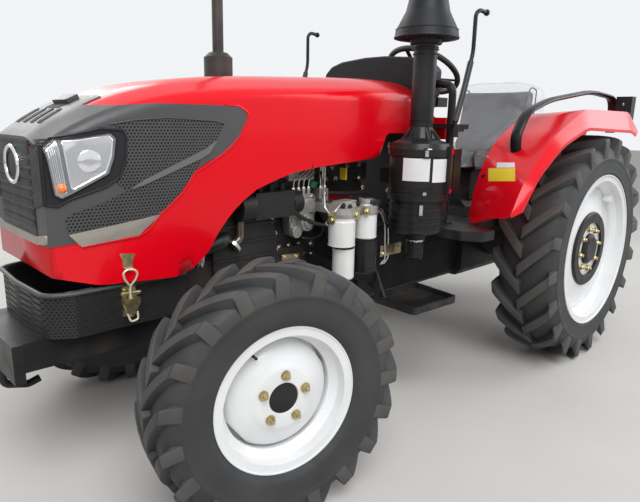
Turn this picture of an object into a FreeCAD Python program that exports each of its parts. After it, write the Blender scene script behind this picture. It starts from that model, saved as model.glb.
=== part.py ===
import FreeCAD, Part
import Sketcher
import math
import os
import re

# Farm tractor with four driven wheels, about 50 horsepower, with an open driver's place.
# Millimetres, +X forward, +Y to the left, +Z up, ground at z = 0.
# The origin lies on the ground in the middle of the tractor's length and width.
# Places along x are given from the rear axle; on_x() moves them into the frame.

Vector = FreeCAD.Vector
Rotation = FreeCAD.Rotation
Placement = FreeCAD.Placement

doc = FreeCAD.newDocument("FarmTractor")
sheet = doc.addObject("Spreadsheet::Sheet", "Size")

# Driving dimensions: name, value, meaning
SIZES = [
    ("rear_axle_x", -760, "rear axle from the middle of the length"),
    ("wheel_base", 1942, "front axle to rear axle"),
    ("rear_track", 1300, "between the rear tyres' middles"),
    ("front_track", 1240, "between the front tyres' middles"),
    ("kingpin_y", 470, "kingpin from the middle plane"),
    ("steer_rest", 12.2, "degrees to the right that the front wheels stand at"),
    ("rear_radius", 570, "rear tyre, ground to axle"),
    ("rear_width", 284, "rear tyre's width"),
    ("rear_rim", 381, "rear rim's flange radius, 28 inch seat"),
    ("rear_seat", 356, "rear rim's bead seat radius"),
    ("rear_half", 127, "half of the rear rim's inner width"),
    ("rear_lug", 30, "rear lug's height"),
    ("front_radius", 395, "front tyre, ground to axle"),
    ("front_width", 208, "front tyre's width"),
    ("front_rim", 226, "front rim's flange radius, 16 inch seat"),
    ("front_seat", 203, "front rim's bead seat radius"),
    ("front_half", 76, "half of the front rim's inner width"),
    ("front_lug", 24, "front lug's height"),
    ("beam_z", 440, "middle of the front axle's beam"),
    ("beam_radius", 55, "front axle beam's tube"),
    ("shaft_z", 410, "drive shaft to the front axle"),
    ("fork_half", 75, "kingpin boss, half height"),
    ("fork_plate", 24, "thickness of the knuckle's fork plates"),
    ("arm_length", 150, "steering arm, kingpin to tie rod ball"),
    ("cylinder_arm", 110, "steering arm, kingpin to cylinder eye"),
    ("running_gap", 0.5, "gap between faces that turn on each other"),
    ("hood_overhang", 508, "nose's front face ahead of the front axle"),
    ("hood_rear", 900, "hood's rear edge"),
    ("hood_half", 284, "hood's half width at the middle"),
    ("hood_top", 1362, "hood's top at the rear"),
    ("hood_skin", 4, "hood's sheet"),
    ("inlay_skin", 3, "thickness of the plastic inlays on the hood"),
    ("hinge_x", 960, "hood hinge's pin"),
    ("hinge_z", 1318, "hood hinge's pin"),
    ("hinge_pin", 8, "hood hinge's pin, radius"),
    ("engine_half", 165, "engine block's half width"),
    ("cleaner_x", 1060, "air cleaner's axis"),
    ("cleaner_y", 425, "air cleaner's axis"),
    ("cleaner_can", 120, "air cleaner's canister, radius"),
    ("floor_z", 745, "top of the platform"),
    ("fender_inside", 18, "gap between the fender's inner wall and the tyre"),
    ("fender_over", 14, "fender's reach past the tyre's outer side"),
    ("fender_lip", 34, "width of the fender's outer lip, from crease to edge"),
    ("steering_wheel_radius", 195, "steering wheel's rim"),
    ("front_overhang", 618, "front end of the frame ahead of the front axle"),
    ("link_end", -1040, "rear end of the lower links"),
    ("link_x", -130, "lower links' pivot"),
    ("link_z", 437, "lower links' pivot"),
    ("link_pin", 16, "lower links' pivot pin"),
    ("lift_x", -170, "lift arms' cross shaft"),
    ("lift_z", 735, "lift arms' cross shaft"),
    ("lift_shaft", 26, "lift arms' cross shaft, radius"),
    ("link_eye", 11.2, "lower links' ball eyes, radius of the pin hole, category 1"),
    ("top_link_eye", 9.6, "top link's eye, radius of the pin hole, category 1"),
    ("drawbar_hole", 15, "drawbar's pin hole, radius"),
    ("pto_radius", 17.5, "power take-off stub, 35 mm"),
    ("pto_length", 80, "power take-off stub, out of the rear case"),
    ("shaft_gap", 0.05, "running clearance of a shaft or pin"),
]

for row, (alias, number, meaning) in enumerate(SIZES, start=1):
    sheet.set(f"A{row}", alias)
    sheet.set(f"B{row}", str(number))
    sheet.setAlias(f"B{row}", alias)
    sheet.set(f"C{row}", meaning)
doc.recompute()
NAMES = {alias for alias, number, meaning in SIZES}
NODES = []

NOSE_END = "wheel_base + front_overhang"
ENGINE_REAR = "wheel_base - 562"
ENGINE_FRONT = "wheel_base - 12"
CLUTCH_REAR = "wheel_base - 812"
FAN_Z = 880
FENDER_INNER = "rear_track / 2 - rear_width / 2 - fender_inside"
FENDER_OUTER = "rear_track / 2 + rear_width / 2 + fender_over"
FENDER_CREASE = f"{FENDER_OUTER} - fender_lip"


def full(expression):
    """Put the sheet's name before each of its aliases."""
    return re.sub(r"[a-z][a-z_]*", lambda word: "Size." + word[0] if word[0] in NAMES else word[0], str(expression))


def value(expression):
    return float(sheet.evalExpression(full(expression)))


def on_x(expression):
    """A place along x, given from the rear axle."""
    return f"rear_axle_x + ({expression})"


def bind(thing, path, expression):
    thing.setExpression(path, full(expression))


def place(thing, x, y, z):
    for axis, expression in (("x", on_x(x)), ("y", y), ("z", z)):
        bind(thing, f".Placement.Base.{axis}", expression)
    return thing


def node(thing, label):
    """Name the sub-part; its label is its file's name."""
    thing.Label = label
    NODES.append(thing)
    return thing


def turned_to(axis):
    return Rotation(Vector(0, 0, 1), Vector(*axis))


def box(name, x, y, z):
    """A block between two places on each axis."""
    solid = doc.addObject("Part::Box", name)
    for size, (low, high) in (("Length", x), ("Width", y), ("Height", z)):
        bind(solid, size, f"({high}) - ({low})")
    return place(solid, x[0], y[0], z[0])


def cylinder(name, start, axis, radius, length):
    solid = doc.addObject("Part::Cylinder", name)
    solid.Placement = Placement(Vector(), turned_to(axis))
    bind(solid, "Radius", radius)
    bind(solid, "Height", length)
    return place(solid, *start)


def cone(name, start, axis, radius_start, radius_end, length):
    solid = doc.addObject("Part::Cone", name)
    solid.Placement = Placement(Vector(), turned_to(axis))
    bind(solid, "Radius1", radius_start)
    bind(solid, "Radius2", radius_end)
    bind(solid, "Height", length)
    return place(solid, *start)


def union(name, parts):
    joined = doc.addObject("Part::MultiFuse", name)
    joined.Shapes = parts
    return joined


def group(name, parts):
    """Like pieces kept as separate solids in one object."""
    together = doc.addObject("Part::Compound", name)
    together.Links = parts
    return together


def minus(name, base, tools):
    result = base
    for number, tool in enumerate(tools):
        step = doc.addObject("Part::Cut", f"{name}{number}")
        step.Base = result
        step.Tool = tool
        result = step
    return result


def common(name, parts):
    result = doc.addObject("Part::MultiCommon", name)
    result.Shapes = parts
    return result


def mirrored(name, source):
    """The same piece on the right-hand side."""
    copy = doc.addObject("Part::Mirroring", name)
    copy.Source = source
    copy.Base = Vector(0, 0, 0)
    copy.Normal = Vector(0, 1, 0)
    return copy


def plane_of(body, role):
    return [feature for feature in body.Origin.OriginFeatures if feature.Role == role][0]


def sketch_on(body, role, name, offset="0"):
    """An empty sketch on one of the body's own planes, moved along its normal."""
    sketch = body.newObject("Sketcher::SketchObject", name)
    sketch.AttachmentSupport = [(plane_of(body, role), "")]
    sketch.MapMode = "FlatFace"
    bind(sketch, "AttachmentOffset.Base.z", offset)
    return sketch


def tangent_length(before, corner, after, radius):
    first = (before - corner).normalize()
    second = (after - corner).normalize()
    half = first.getAngle(second) / 2
    return radius / math.tan(half), first, second, half


def outline(sketch, corners):
    """Draw a closed outline; each corner is (a, b) or (a, b, radius) as sheet expressions."""
    count = len(corners)
    points = [Vector(value(corner[0]), value(corner[1]), 0) for corner in corners]
    ends = []
    for index, corner in enumerate(corners):
        if len(corner) < 3:
            ends.append((points[index], points[index], None))
            continue
        radius = value(corner[2])
        reach, back, ahead, half = tangent_length(points[index - 1], points[index],
                                                  points[(index + 1) % count], radius)
        centre = points[index] + (back + ahead).normalize() * (radius / math.sin(half))
        middle = centre + (points[index] - centre).normalize() * radius
        ends.append((points[index] + back * reach, points[index] + ahead * reach, middle))
    lines = []
    for index in range(count):
        start = ends[index][1]
        end = ends[(index + 1) % count][0]
        lines.append(sketch.addGeometry(Part.LineSegment(start, end), False))
    for index, corner in enumerate(corners):
        line_in = lines[index - 1]
        line_out = lines[index]
        spot_a, spot_b = corner[0], corner[1]
        if ends[index][2] is None:
            sketch.addConstraint(Sketcher.Constraint("Coincident", line_in, 2, line_out, 1))
            holder, end = line_out, 1
        else:
            arc_shape = Part.Arc(ends[index][0], ends[index][2], ends[index][1])
            arc = sketch.addGeometry(arc_shape, False)
            start_first = sketch.getPoint(arc, 1).distanceToPoint(ends[index][0]) < 1e-6
            near, far = (1, 2) if start_first else (2, 1)
            sketch.addConstraint(Sketcher.Constraint("Tangent", line_in, 2, arc, near))
            sketch.addConstraint(Sketcher.Constraint("Tangent", line_out, 1, arc, far))
            turn = sketch.addConstraint(Sketcher.Constraint("Radius", arc, value(corner[2])))
            bind(sketch, f"Constraints[{turn}]", corner[2])
            holder = sketch.addGeometry(Part.Point(points[index]), True)
            end = 1
            sketch.addConstraint(Sketcher.Constraint("PointOnObject", holder, 1, line_in))
            sketch.addConstraint(Sketcher.Constraint("PointOnObject", holder, 1, line_out))
        for kind, spot in (("DistanceX", spot_a), ("DistanceY", spot_b)):
            fixed = sketch.addConstraint(Sketcher.Constraint(kind, -1, 1, holder, end, value(spot)))
            bind(sketch, f"Constraints[{fixed}]", spot)


def side_plate(name, corners, low, high):
    """An outline in x and z, extruded across y from low to high."""
    body = doc.addObject("PartDesign::Body", name)
    sketch = sketch_on(body, "XZ_Plane", name + "Outline", f"-({high})")
    outline(sketch, [(on_x(corner[0]),) + tuple(corner[1:]) for corner in corners])
    pad = body.newObject("PartDesign::Pad", name + "Pad")
    pad.Profile = sketch
    bind(pad, "Length", f"({high}) - ({low})")
    return body


def front_plate(name, corners, low, high):
    """An outline in y and z, extruded along x from low to high."""
    body = doc.addObject("PartDesign::Body", name)
    sketch = sketch_on(body, "YZ_Plane", name + "Outline", on_x(low))
    outline(sketch, corners)
    pad = body.newObject("PartDesign::Pad", name + "Pad")
    pad.Profile = sketch
    bind(pad, "Length", f"({high}) - ({low})")
    return body


def level_plate(name, corners, low, high):
    """An outline in x and y, extruded upwards from low to high."""
    body = doc.addObject("PartDesign::Body", name)
    sketch = sketch_on(body, "XY_Plane", name + "Outline", low)
    outline(sketch, [(on_x(corner[0]),) + tuple(corner[1:]) for corner in corners])
    pad = body.newObject("PartDesign::Pad", name + "Pad")
    pad.Profile = sketch
    bind(pad, "Length", f"({high}) - ({low})")
    return body


def revolved(name, corners):
    """A profile of (radius, height) turned round the body's own z axis."""
    body = doc.addObject("PartDesign::Body", name)
    sketch = sketch_on(body, "XZ_Plane", name + "Profile")
    outline(sketch, corners)
    turn = body.newObject("PartDesign::Revolution", name + "Turn")
    turn.Profile = sketch
    turn.ReferenceAxis = (sketch, ["V_Axis"])
    turn.Angle = 360
    return body


def bent_path(points, bend):
    """Straight runs with rounded bends; a point's fourth entry is its own bend radius."""
    spots = [Vector(value(on_x(point[0])), value(point[1]), value(point[2])) for point in points]
    edges = []
    start = spots[0]
    for index in range(1, len(spots) - 1):
        radius = points[index][3] if len(points[index]) > 3 else bend
        reach, back, ahead, half = tangent_length(spots[index - 1], spots[index], spots[index + 1], radius)
        centre = spots[index] + (back + ahead).normalize() * (radius / math.sin(half))
        middle = centre + (spots[index] - centre).normalize() * radius
        arc_start = spots[index] + back * reach
        arc_end = spots[index] + ahead * reach
        edges.append(Part.makeLine(start, arc_start))
        edges.append(Part.Arc(arc_start, middle, arc_end).toShape())
        start = arc_end
    edges.append(Part.makeLine(start, spots[-1]))
    return spots, Part.Wire(edges)


def tube(name, points, radius, bend=60):
    """A round bar along straight runs with rounded bends; points are sheet expressions."""
    spots, wire = bent_path(points, bend)
    ring = Part.Wire(Part.makeCircle(value(radius), spots[0], spots[1] - spots[0]))
    bar = doc.addObject("Part::Feature", name)
    bar.Shape = wire.makePipeShell([ring], True, True)
    return bar


def oval_bar(name, points, half_wide, half_thick):
    """A bar of oval section along a path that stays at one y, its wide side across."""
    spots, wire = bent_path(points, 60)
    across = Vector(0, 1, 0)
    away = (spots[1] - spots[0]).normalize().cross(across)
    oval = Part.Ellipse(spots[0] + across * half_wide, spots[0] + away * half_thick, spots[0])
    sweep = Part.BRepOffsetAPI.MakePipeShell(wire)
    sweep.setBiNormalMode(across)
    sweep.add(Part.Wire(oval.toShape()))
    sweep.build()
    sweep.makeSolid()
    bar = doc.addObject("Part::Feature", name)
    bar.Shape = sweep.shape()
    return bar


# Wheels

def rim(name, flange, seat, half, lip, sheet_wall, well):
    """A drop-centre rim, turned round its own z axis, outer side at +z."""
    shoulder = f"({half}) - 34"
    slope = f"({half}) - 54"
    wall = sheet_wall
    upper = [(flange, lip), (flange, half), (seat, half), (seat, shoulder), (well, slope)]
    lower = [(radius, f"-({height})") for radius, height in reversed(upper)]
    back_lower = [(f"{flange} - {wall}", f"-({lip})"), (f"{flange} - {wall}", f"-({half}) - {wall}"),
                  (f"{seat} - {wall}", f"-({half}) - {wall}"), (f"{seat} - {wall}", f"-({shoulder}) + {wall} / 2"),
                  (f"({well}) - {wall}", f"-({slope}) + {wall} / 2")]
    back_upper = [(radius, f"-({height})") for radius, height in reversed(back_lower)]
    return revolved(name, upper + lower + back_lower + back_upper)


def lug_bar(radius, half_width, thickness, sweep, side):
    """One straight bar of the chevron, taller than the tyre, before it is trimmed."""
    bottom = radius * 0.75
    inner = -0.06 * half_width
    corners = [(sweep * 0.42, inner), (sweep * 0.42 - thickness * 1.25, inner),
               (-sweep * 0.58 - thickness, half_width * 1.05), (-sweep * 0.58 + thickness * 0.1, half_width * 1.05)]
    wire = Part.makePolygon([Vector(along, across * side, bottom) for along, across in corners + corners[:1]])
    return Part.Face(wire).extrude(Vector(0, 0, radius * 1.02 - bottom))


def all_lugs(envelope, radius, half_width, count, thickness, sweep):
    """Trim one bar of each side to the envelope and repeat it round the tyre."""
    lugs = []
    for side, start in ((1, 0), (-1, 0.5)):
        trimmed = envelope.common(lug_bar(radius, half_width, thickness, sweep, side)).Solids[0]
        for number in range(count):
            lug = trimmed.copy()
            lug.rotate(Vector(0, 0, 0), Vector(0, 1, 0), 360 / count * (number + start))
            lugs.append(lug)
    return lugs


def lying(feature):
    """Turn a piece made round z so that its outer side faces +y."""
    feature.Placement = Placement(Vector(), Rotation(Vector(1, 0, 0), -90))
    return feature


def tyre(name, radius, width, flange, seat, half, lug, count, thickness, sweep):
    """Carcass with chevron lugs, round its own y axis, outer side at +y."""
    carcass = f"({radius}) - ({lug})"
    half_width = f"({width}) / 2"
    side = [(seat, half), (f"{flange} + 3", half), (f"{flange} + 5", f"{half} + 8"),
            (f"{flange} + 0.42 * ({carcass} - {flange})", half_width),
            (f"{flange} + 0.72 * ({carcass} - {flange})", f"{half_width} * 0.99"),
            (f"{carcass} - 8", f"{half_width} * 0.80")]
    other = [(spot, f"-({height})") for spot, height in reversed(side)]
    body = lying(revolved(name + "Carcass", side + other))
    crown = [(f"{carcass} - 26", f"{half_width} * 0.3"), (f"{flange} + 0.74 * ({carcass} - {flange})", f"{half_width} * 0.7"),
             (f"{flange} + 0.66 * ({carcass} - {flange})", half_width), (f"{radius} - 0.45 * ({lug})", half_width),
             (f"{radius} - 4", f"{half_width} * 0.82"), (radius, f"{half_width} * 0.45")]
    under = [(spot, f"-({height})") for spot, height in reversed(crown)]
    ring = lying(revolved(name + "Envelope", crown + under))
    doc.recompute()
    lugs = all_lugs(ring.Shape, value(radius), value(half_width), count, thickness, sweep)
    whole = doc.addObject("Part::Feature", name)
    whole.Shape = body.Shape.multiFuse(lugs).removeSplitter()
    return whole


def cylinder_at_origin(name, radius, low, high):
    """A cylinder round z, before it is laid down with its wheel."""
    solid = doc.addObject("Part::Cylinder", name)
    bind(solid, "Radius", radius)
    solid.Height = high - low
    solid.Placement = Placement(Vector(0, 0, low), Rotation())
    return solid


def flats_block():
    """A square block that leaves the four flats on the front disc's edge, turned as in the photo."""
    flat, turn = 161, 37.5
    block = doc.addObject("Part::Feature", "FlatsBlock")
    square = Part.makeBox(2 * flat, 2 * flat, 100, Vector(-flat, -flat, -30))
    square.rotate(Vector(0, 0, 0), Vector(0, 0, 1), turn)
    block.Shape = square
    return block


def front_wheel():
    """The left front wheel's rim, disc and tyre round its own y axis, outer side at +y."""
    barrel = lying(rim("FrontBarrel", "front_rim", "front_seat", "front_half", "front_half + 8", "5", "front_seat - 24"))
    disc = revolved("FrontDisc", [("47", "60"), ("92", "60"), ("108", "52"), ("128", "46"), ("156", "28"), ("front_seat - 29", "4"),
                                  ("front_seat - 29", "-3"), ("152", "22"), ("125", "39"), ("106", "45"), ("90", "53"), ("47", "53")])
    slots = minus("FrontSlots", cylinder_at_origin("FrontSlotRing", "front_seat - 29.2", -20, 60), [flats_block()])
    wheel = union("FrontRim", [barrel, lying(minus("FrontDiscCut", disc, [slots]))])
    rubber = tyre("FrontTyre", "front_radius", "front_width", "front_rim", "front_seat", "front_half", "front_lug", 19, 38, 150)
    hub = lying(revolved("FrontHub", [("0", "-60"), ("70", "-60"), ("70", "0"), ("88", "6"), ("88", "52.7"), ("46.5", "52.7"),
                                      ("46.5", "57"), ("0", "57")]))
    return wheel, rubber, hub


def rear_wheel():
    """The left rear wheel's rim, disc and tyre round its own y axis, outer side at +y."""
    barrel = lying(rim("RearBarrel", "rear_rim", "rear_seat", "rear_half", "rear_half + 12", "6", "rear_seat - 30"))
    disc = lying(revolved("RearDisc", [("80", "86"), ("190", "86"), ("205", "82"), ("285", "60"), ("rear_seat - 36", "60"),
                                       ("rear_seat - 36", "52"), ("282", "52"), ("200", "74"), ("188", "78"), ("80", "78")]))
    wheel = union("RearRim", [barrel, disc])
    rubber = tyre("RearTyre", "rear_radius", "rear_width", "rear_rim", "rear_seat", "rear_half", "rear_lug", 20, 46, 170)
    hub = lying(revolved("RearHub", [("0", "-118"), ("62", "-118"), ("62", "40"), ("130", "56"), ("130", "78"), ("79", "78"),
                                     ("77", "96"), ("60", "108"), ("0", "108")]))
    ring = lying(revolved("RearCastRing", [("138", "86"), ("190", "86"), ("190", "93"), ("182", "100"), ("138", "100")]))
    return wheel, rubber, group("RearHubSet", [hub, ring])


def stand_wheel(source, label, side, x, y, z, steer):
    """Place a wheel piece made at the origin; side -1 is its mirror image on the right."""
    stand = doc.addObject("Part::Feature", label.title().replace("_", ""))
    shape = source.Shape.copy()
    if side < 0:
        shape = shape.mirror(Vector(0, 0, 0), Vector(0, 1, 0))
    shape.rotate(Vector(0, 0, 0), Vector(0, 0, 1), -steer)
    stand.Shape = shape
    place(stand, x, y, z)
    return node(stand, label)


def all_wheels():
    doc.recompute()
    steer = value("steer_rest")
    offset = value("front_track / 2 - kingpin_y")
    sine = math.sin(math.radians(steer))
    cosine = math.cos(math.radians(steer))
    for side, hand in ((1, "left"), (-1, "right")):
        for source, piece in zip(FRONT, ("rim", "tyre", "hub")):
            stand_wheel(source, f"front_{piece}_{hand}", side, f"wheel_base + ({side * offset * sine})",
                        f"{side} * kingpin_y + ({side * offset * cosine})", "front_radius", steer)
        for source, piece in zip(REAR, ("rim", "tyre", "hub")):
            stand_wheel(source, f"rear_{piece}_{hand}", side, "0", f"{side} * rear_track / 2", "rear_radius", 0)


FRONT = front_wheel()
REAR = rear_wheel()
all_wheels()


# Front axle, knuckles and steering

def front_axle():
    reach = "kingpin_y"
    beam = cylinder("Beam", ("wheel_base", "-kingpin_y", "beam_z"), (0, 1, 0), "beam_radius", "2 * kingpin_y")
    pieces = [beam, box("BeamWeb", ("wheel_base - 70", "wheel_base + beam_radius"), ("-150", "150"), ("beam_z - 40", "beam_z + 105"))]
    housing = cylinder("DiffHousing", ("wheel_base - 70", "0", "beam_z"), (1, 0, 0), "105", "70 + beam_radius")
    nose = cone("DiffNose", ("wheel_base - 70", "0", "shaft_z"), (-1, 0, 0), "58", "38", "90")
    pieces += [housing, nose]
    for side in (1, -1):
        pieces.append(cylinder(f"KingpinBoss{side + 1}", ("wheel_base", f"{side} * {reach}", "beam_z - fork_half"), (0, 0, 1),
                               "beam_radius + 4", "2 * fork_half"))
    return node(union("FrontAxle", pieces), "front_axle")


def knuckle(side):
    """A fork over the kingpin boss with a hub housing and the steering arms, round the kingpin at the origin."""
    steer = value("steer_rest")
    gap = value("running_gap")
    low = value("beam_z - fork_half") - gap
    high = value("beam_z + fork_half") + gap
    plate = value("fork_plate")
    reach = value("front_track / 2 - kingpin_y")
    boss = value("beam_radius") + 4
    wall_inner = boss + 6
    hub_face = reach - 60 - gap
    pieces = []
    for bottom in (low - plate, high):
        disc = Part.makeCylinder(boss + 4, plate, Vector(0, 0, bottom))
        strap = Part.makeBox(2 * boss + 8, hub_face, plate, Vector(-boss - 4, 0, bottom))
        pieces += [disc, strap]
    pieces.append(Part.makeBox(2 * boss + 8, hub_face - wall_inner, high - low + 2 * plate,
                               Vector(-boss - 4, wall_inner, low - plate)))
    pieces.append(Part.makeCylinder(90, hub_face - wall_inner, Vector(0, wall_inner, value("front_radius")), Vector(0, 1, 0)))
    arm = value("arm_length")
    pieces.append(Part.makeBox(arm, 44, 18, Vector(-arm, -22, high)))
    pieces.append(Part.makeCylinder(26, 18, Vector(-arm, 0, high)))
    if side > 0:
        push = value("cylinder_arm")
        pieces.append(Part.makeBox(push, 44, 18, Vector(0, -22, low - plate + 6)))
        pieces.append(Part.makeCylinder(26, 18, Vector(push, 0, low - plate + 6)))
    shape = pieces[0].fuse(pieces[1:]).removeSplitter()
    if side < 0:
        shape = shape.mirror(Vector(0, 0, 0), Vector(0, 1, 0))
    shape.rotate(Vector(0, 0, 0), Vector(0, 0, 1), -steer)
    feature = doc.addObject("Part::Feature", "KnuckleLeft" if side > 0 else "KnuckleRight")
    feature.Shape = shape
    place(feature, "wheel_base", f"{side} * kingpin_y", "0")
    return node(feature, "knuckle_left" if side > 0 else "knuckle_right")


def arm_end(side, length, forward):
    """Where a steering arm's ball stands at rest, from the rear axle."""
    steer = value("steer_rest")
    turn = Rotation(Vector(0, 0, 1), -steer)
    tip = turn.multVec(Vector(value(length) * forward, 0, 0))
    return value("wheel_base") + tip.x, side * value("kingpin_y") + tip.y


def tie_rod():
    """A straight rod under the arms' ends, with a ball stud at each."""
    top = value("beam_z + fork_half")
    x_left, y_left = arm_end(1, "arm_length", -1)
    x_right, y_right = arm_end(-1, "arm_length", -1)
    height = top - 22
    pieces = [cylinder("TieBar", (x_right, y_right, height), (0, 1, 0), "13", y_left - y_right)]
    for name, x, y in (("Left", x_left, y_left), ("Right", x_right, y_right)):
        pieces.append(cylinder("TieEye" + name, (x, y, height - 18), (0, 0, 1), "24", "34"))
        pieces.append(cylinder("TieStud" + name, (x, y, height), (0, 0, 1), "11", "22"))
    return node(union("TieRod", pieces), "tie_rod")


def steering_cylinder():
    """Barrel fixed across the front of the axle, and its rod with an eye over the left arm."""
    x_eye, y_eye = arm_end(1, "cylinder_arm", 1)
    height = value("beam_z") - 15
    arm_top = value("beam_z - fork_half - running_gap - fork_plate") + 24
    barrel_x = "wheel_base + beam_radius + 38"
    barrel = cylinder("Barrel", (barrel_x, "-190", height), (0, 1, 0), "30", "330")
    bore = cylinder("BarrelBore", (barrel_x, "-170", height), (0, 1, 0), "14.5", "400")
    bracket = box("BarrelBracket", ("wheel_base + beam_radius", barrel_x), ("-120", "80"), (height - 12, height + 12))
    node(minus("SteeringBarrel", union("BarrelBlock", [barrel, bracket]), [bore]), "steering_cylinder")
    rod = cylinder("Rod", (barrel_x, "-100", height), (0, 1, 0), "14", y_eye + 100)
    eye = cylinder("RodEye", (barrel_x, y_eye, height - 26), (0, 0, 1), "26", "52")
    stud = cylinder("RodStud", (barrel_x, y_eye, arm_top + value("running_gap")), (0, 0, 1), "12", height - arm_top)
    node(union("SteeringRod", [rod, eye, stud]), "steering_rod")


front_axle()
knuckle(1)
knuckle(-1)
tie_rod()
steering_cylinder()


# Chassis

def tow_hook():
    """Forged hook under the front plate."""
    middle = f"{NOSE_END} - 15"
    return tube("HookBar", [(middle, "0", "450"), (middle, "0", "372"), (f"{NOSE_END} - 85", "0", "352"),
                            (f"{NOSE_END} - 120", "0", "362")], "12", 26)


def front_frame():
    pieces = [tow_hook()]
    for side in (1, -1):
        low, high = ("engine_half", "engine_half + 18") if side > 0 else ("-engine_half - 18", "-engine_half")
        rail = [("wheel_base - 472", "600"), ("wheel_base - 472", "700"), ("wheel_base + 48", "700"), ("wheel_base + 138", "556"),
                (f"{NOSE_END} - 30", "556"), (f"{NOSE_END} - 30", "468"), ("wheel_base + 158", "468"),
                ("wheel_base + 108", "560"), ("wheel_base - 62", "600")]
        pieces.append(side_plate(f"FrameRail{side + 1}", rail, low, high))
    pieces.append(box("FrontPlate", (f"{NOSE_END} - 30", NOSE_END), ("-190", "190"), ("440", "556")))
    pieces.append(box("FrontShelf", ("wheel_base + 128", f"{NOSE_END} - 30"), ("-engine_half", "engine_half"), ("544", "556")))
    pieces.append(box("AxlePost", (ENGINE_FRONT, "wheel_base + 60"), ("-engine_half", "engine_half"),
                      ("beam_z + 105.3", "690")))
    return node(union("FrontFrame", pieces), "front_frame")


def engine():
    block = box("Block", (ENGINE_REAR, ENGINE_FRONT), ("-engine_half", "engine_half"), ("600", "960"))
    sump = side_plate("Sump", [(f"{ENGINE_REAR} + 20", "600"), (f"{ENGINE_REAR} + 20", "500"), ("wheel_base - 242", "500"),
                               ("wheel_base - 182", "560"), (ENGINE_FRONT, "560"), (ENGINE_FRONT, "600")], "-130", "130")
    head = box("Head", (f"{ENGINE_REAR} + 20", f"{ENGINE_FRONT} - 30"), ("-110", "130"), ("960", "1070"))
    cover = box("RockerCover", (f"{ENGINE_REAR} + 40", f"{ENGINE_FRONT} - 50"), ("-80", "80"), ("1070", "1140"))
    return node(union("Engine", [block, sump, head, cover]), "engine")


def case_section(half, bottom, top, corner):
    """A cast case's cross section in y and z, with cut corners."""
    return [(f"-({half}) + {corner}", bottom), (f"{half} - {corner}", bottom), (half, f"{bottom} + {corner}"),
            (half, f"{top} - {corner}"), (f"{half} - {corner}", top), (f"-({half}) + {corner}", top),
            (f"-({half})", f"{top} - {corner}"), (f"-({half})", f"{bottom} + {corner}")]


def transmission():
    """Clutch housing, gearbox and rear case with flanges between them, axle housings, shaft guard and stub."""
    cases = [front_plate("ClutchHousing", case_section("200", "460", "830", "60"), CLUTCH_REAR, ENGINE_REAR),
             front_plate("Gearbox", case_section("160", "370", "floor_z - 40", "24"), "300", CLUTCH_REAR),
             front_plate("RearCase", case_section("190", "360", "780", "36"), "-210", "300"),
             front_plate("ClutchFlange", case_section("212", "448", "842", "66"), f"{ENGINE_REAR} - 22", ENGINE_REAR),
             front_plate("GearboxFlange", case_section("176", "356", "floor_z - 40", "28"), f"{CLUTCH_REAR} - 26", CLUTCH_REAR),
             cylinder("ShaftGuard", (CLUTCH_REAR, "0", "shaft_z"), (1, 0, 0), "32", "812 - 160"),
             cylinder("LinkPins", ("link_x", "-372", "link_z"), (0, 1, 0), "link_pin", "744"),
             cylinder("PowerStub", ("-210", "0", "540"), (-1, 0, 0), "pto_radius", "pto_length"),
             cylinder("StubCollar", ("-210", "0", "540"), (-1, 0, 0), "44", "12")]
    bore = cylinder("LiftBore", ("lift_x", "-200", "lift_z"), (0, 1, 0), "lift_shaft + shaft_gap", "400")
    return node(minus("Transmission", union("TransmissionCases", cases + trumpets()), [bore]), "transmission")


def trumpets():
    """Rear axle housings, out to the wheel hubs."""
    reach = "rear_track / 2 - 118 - running_gap - 190"
    return [cone(f"Trumpet{side + 1}", ("0", str(side * 190), "rear_radius"), (0, side, 0), "125", "75", reach) for side in (1, -1)]


front_frame()
engine()
transmission()


# Engine fittings

def cooling():
    wide = ("wheel_base + 128", "wheel_base + 218")
    node(union("RadiatorBlock", [box("Core", ("wheel_base + 138", "wheel_base + 208"), ("-210", "210"), ("765", "1140")),
                                 box("TopTank", wide, ("-215", "215"), ("1140", "1185")),
                                 box("FootTank", wide, ("-205", "205"), ("650", "765")),
                                 box("Foot", ("wheel_base + 148", "wheel_base + 198"), ("-140", "140"), ("556", "650"))]), "radiator")
    middle = value(on_x(ENGINE_FRONT)) + 19
    pieces = [Part.makeCylinder(30, 50, Vector(value(on_x(ENGINE_FRONT)), 0, FAN_Z), Vector(1, 0, 0))]
    for number in range(6):
        blade = Part.makeBox(8, 70, 165, Vector(middle - 4, -35, FAN_Z + 15))
        blade.rotate(Vector(middle, 0, 0), Vector(0, 0, 1), 25)
        blade.rotate(Vector(0, 0, FAN_Z), Vector(1, 0, 0), 60 * number)
        pieces.append(blade)
    fan = doc.addObject("Part::Feature", "Fan")
    fan.Shape = pieces[0].fuse(pieces[1:])
    node(fan, "fan")
    node(tube("LowerHose", [(f"{ENGINE_FRONT} - 80", "engine_half + 1", "775"), (f"{ENGINE_FRONT} - 80", "212", "775"),
                            ("wheel_base + 43", "180", "737"), ("wheel_base + 127.7", "180", "737")], "26", 30), "radiator_hose")


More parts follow.
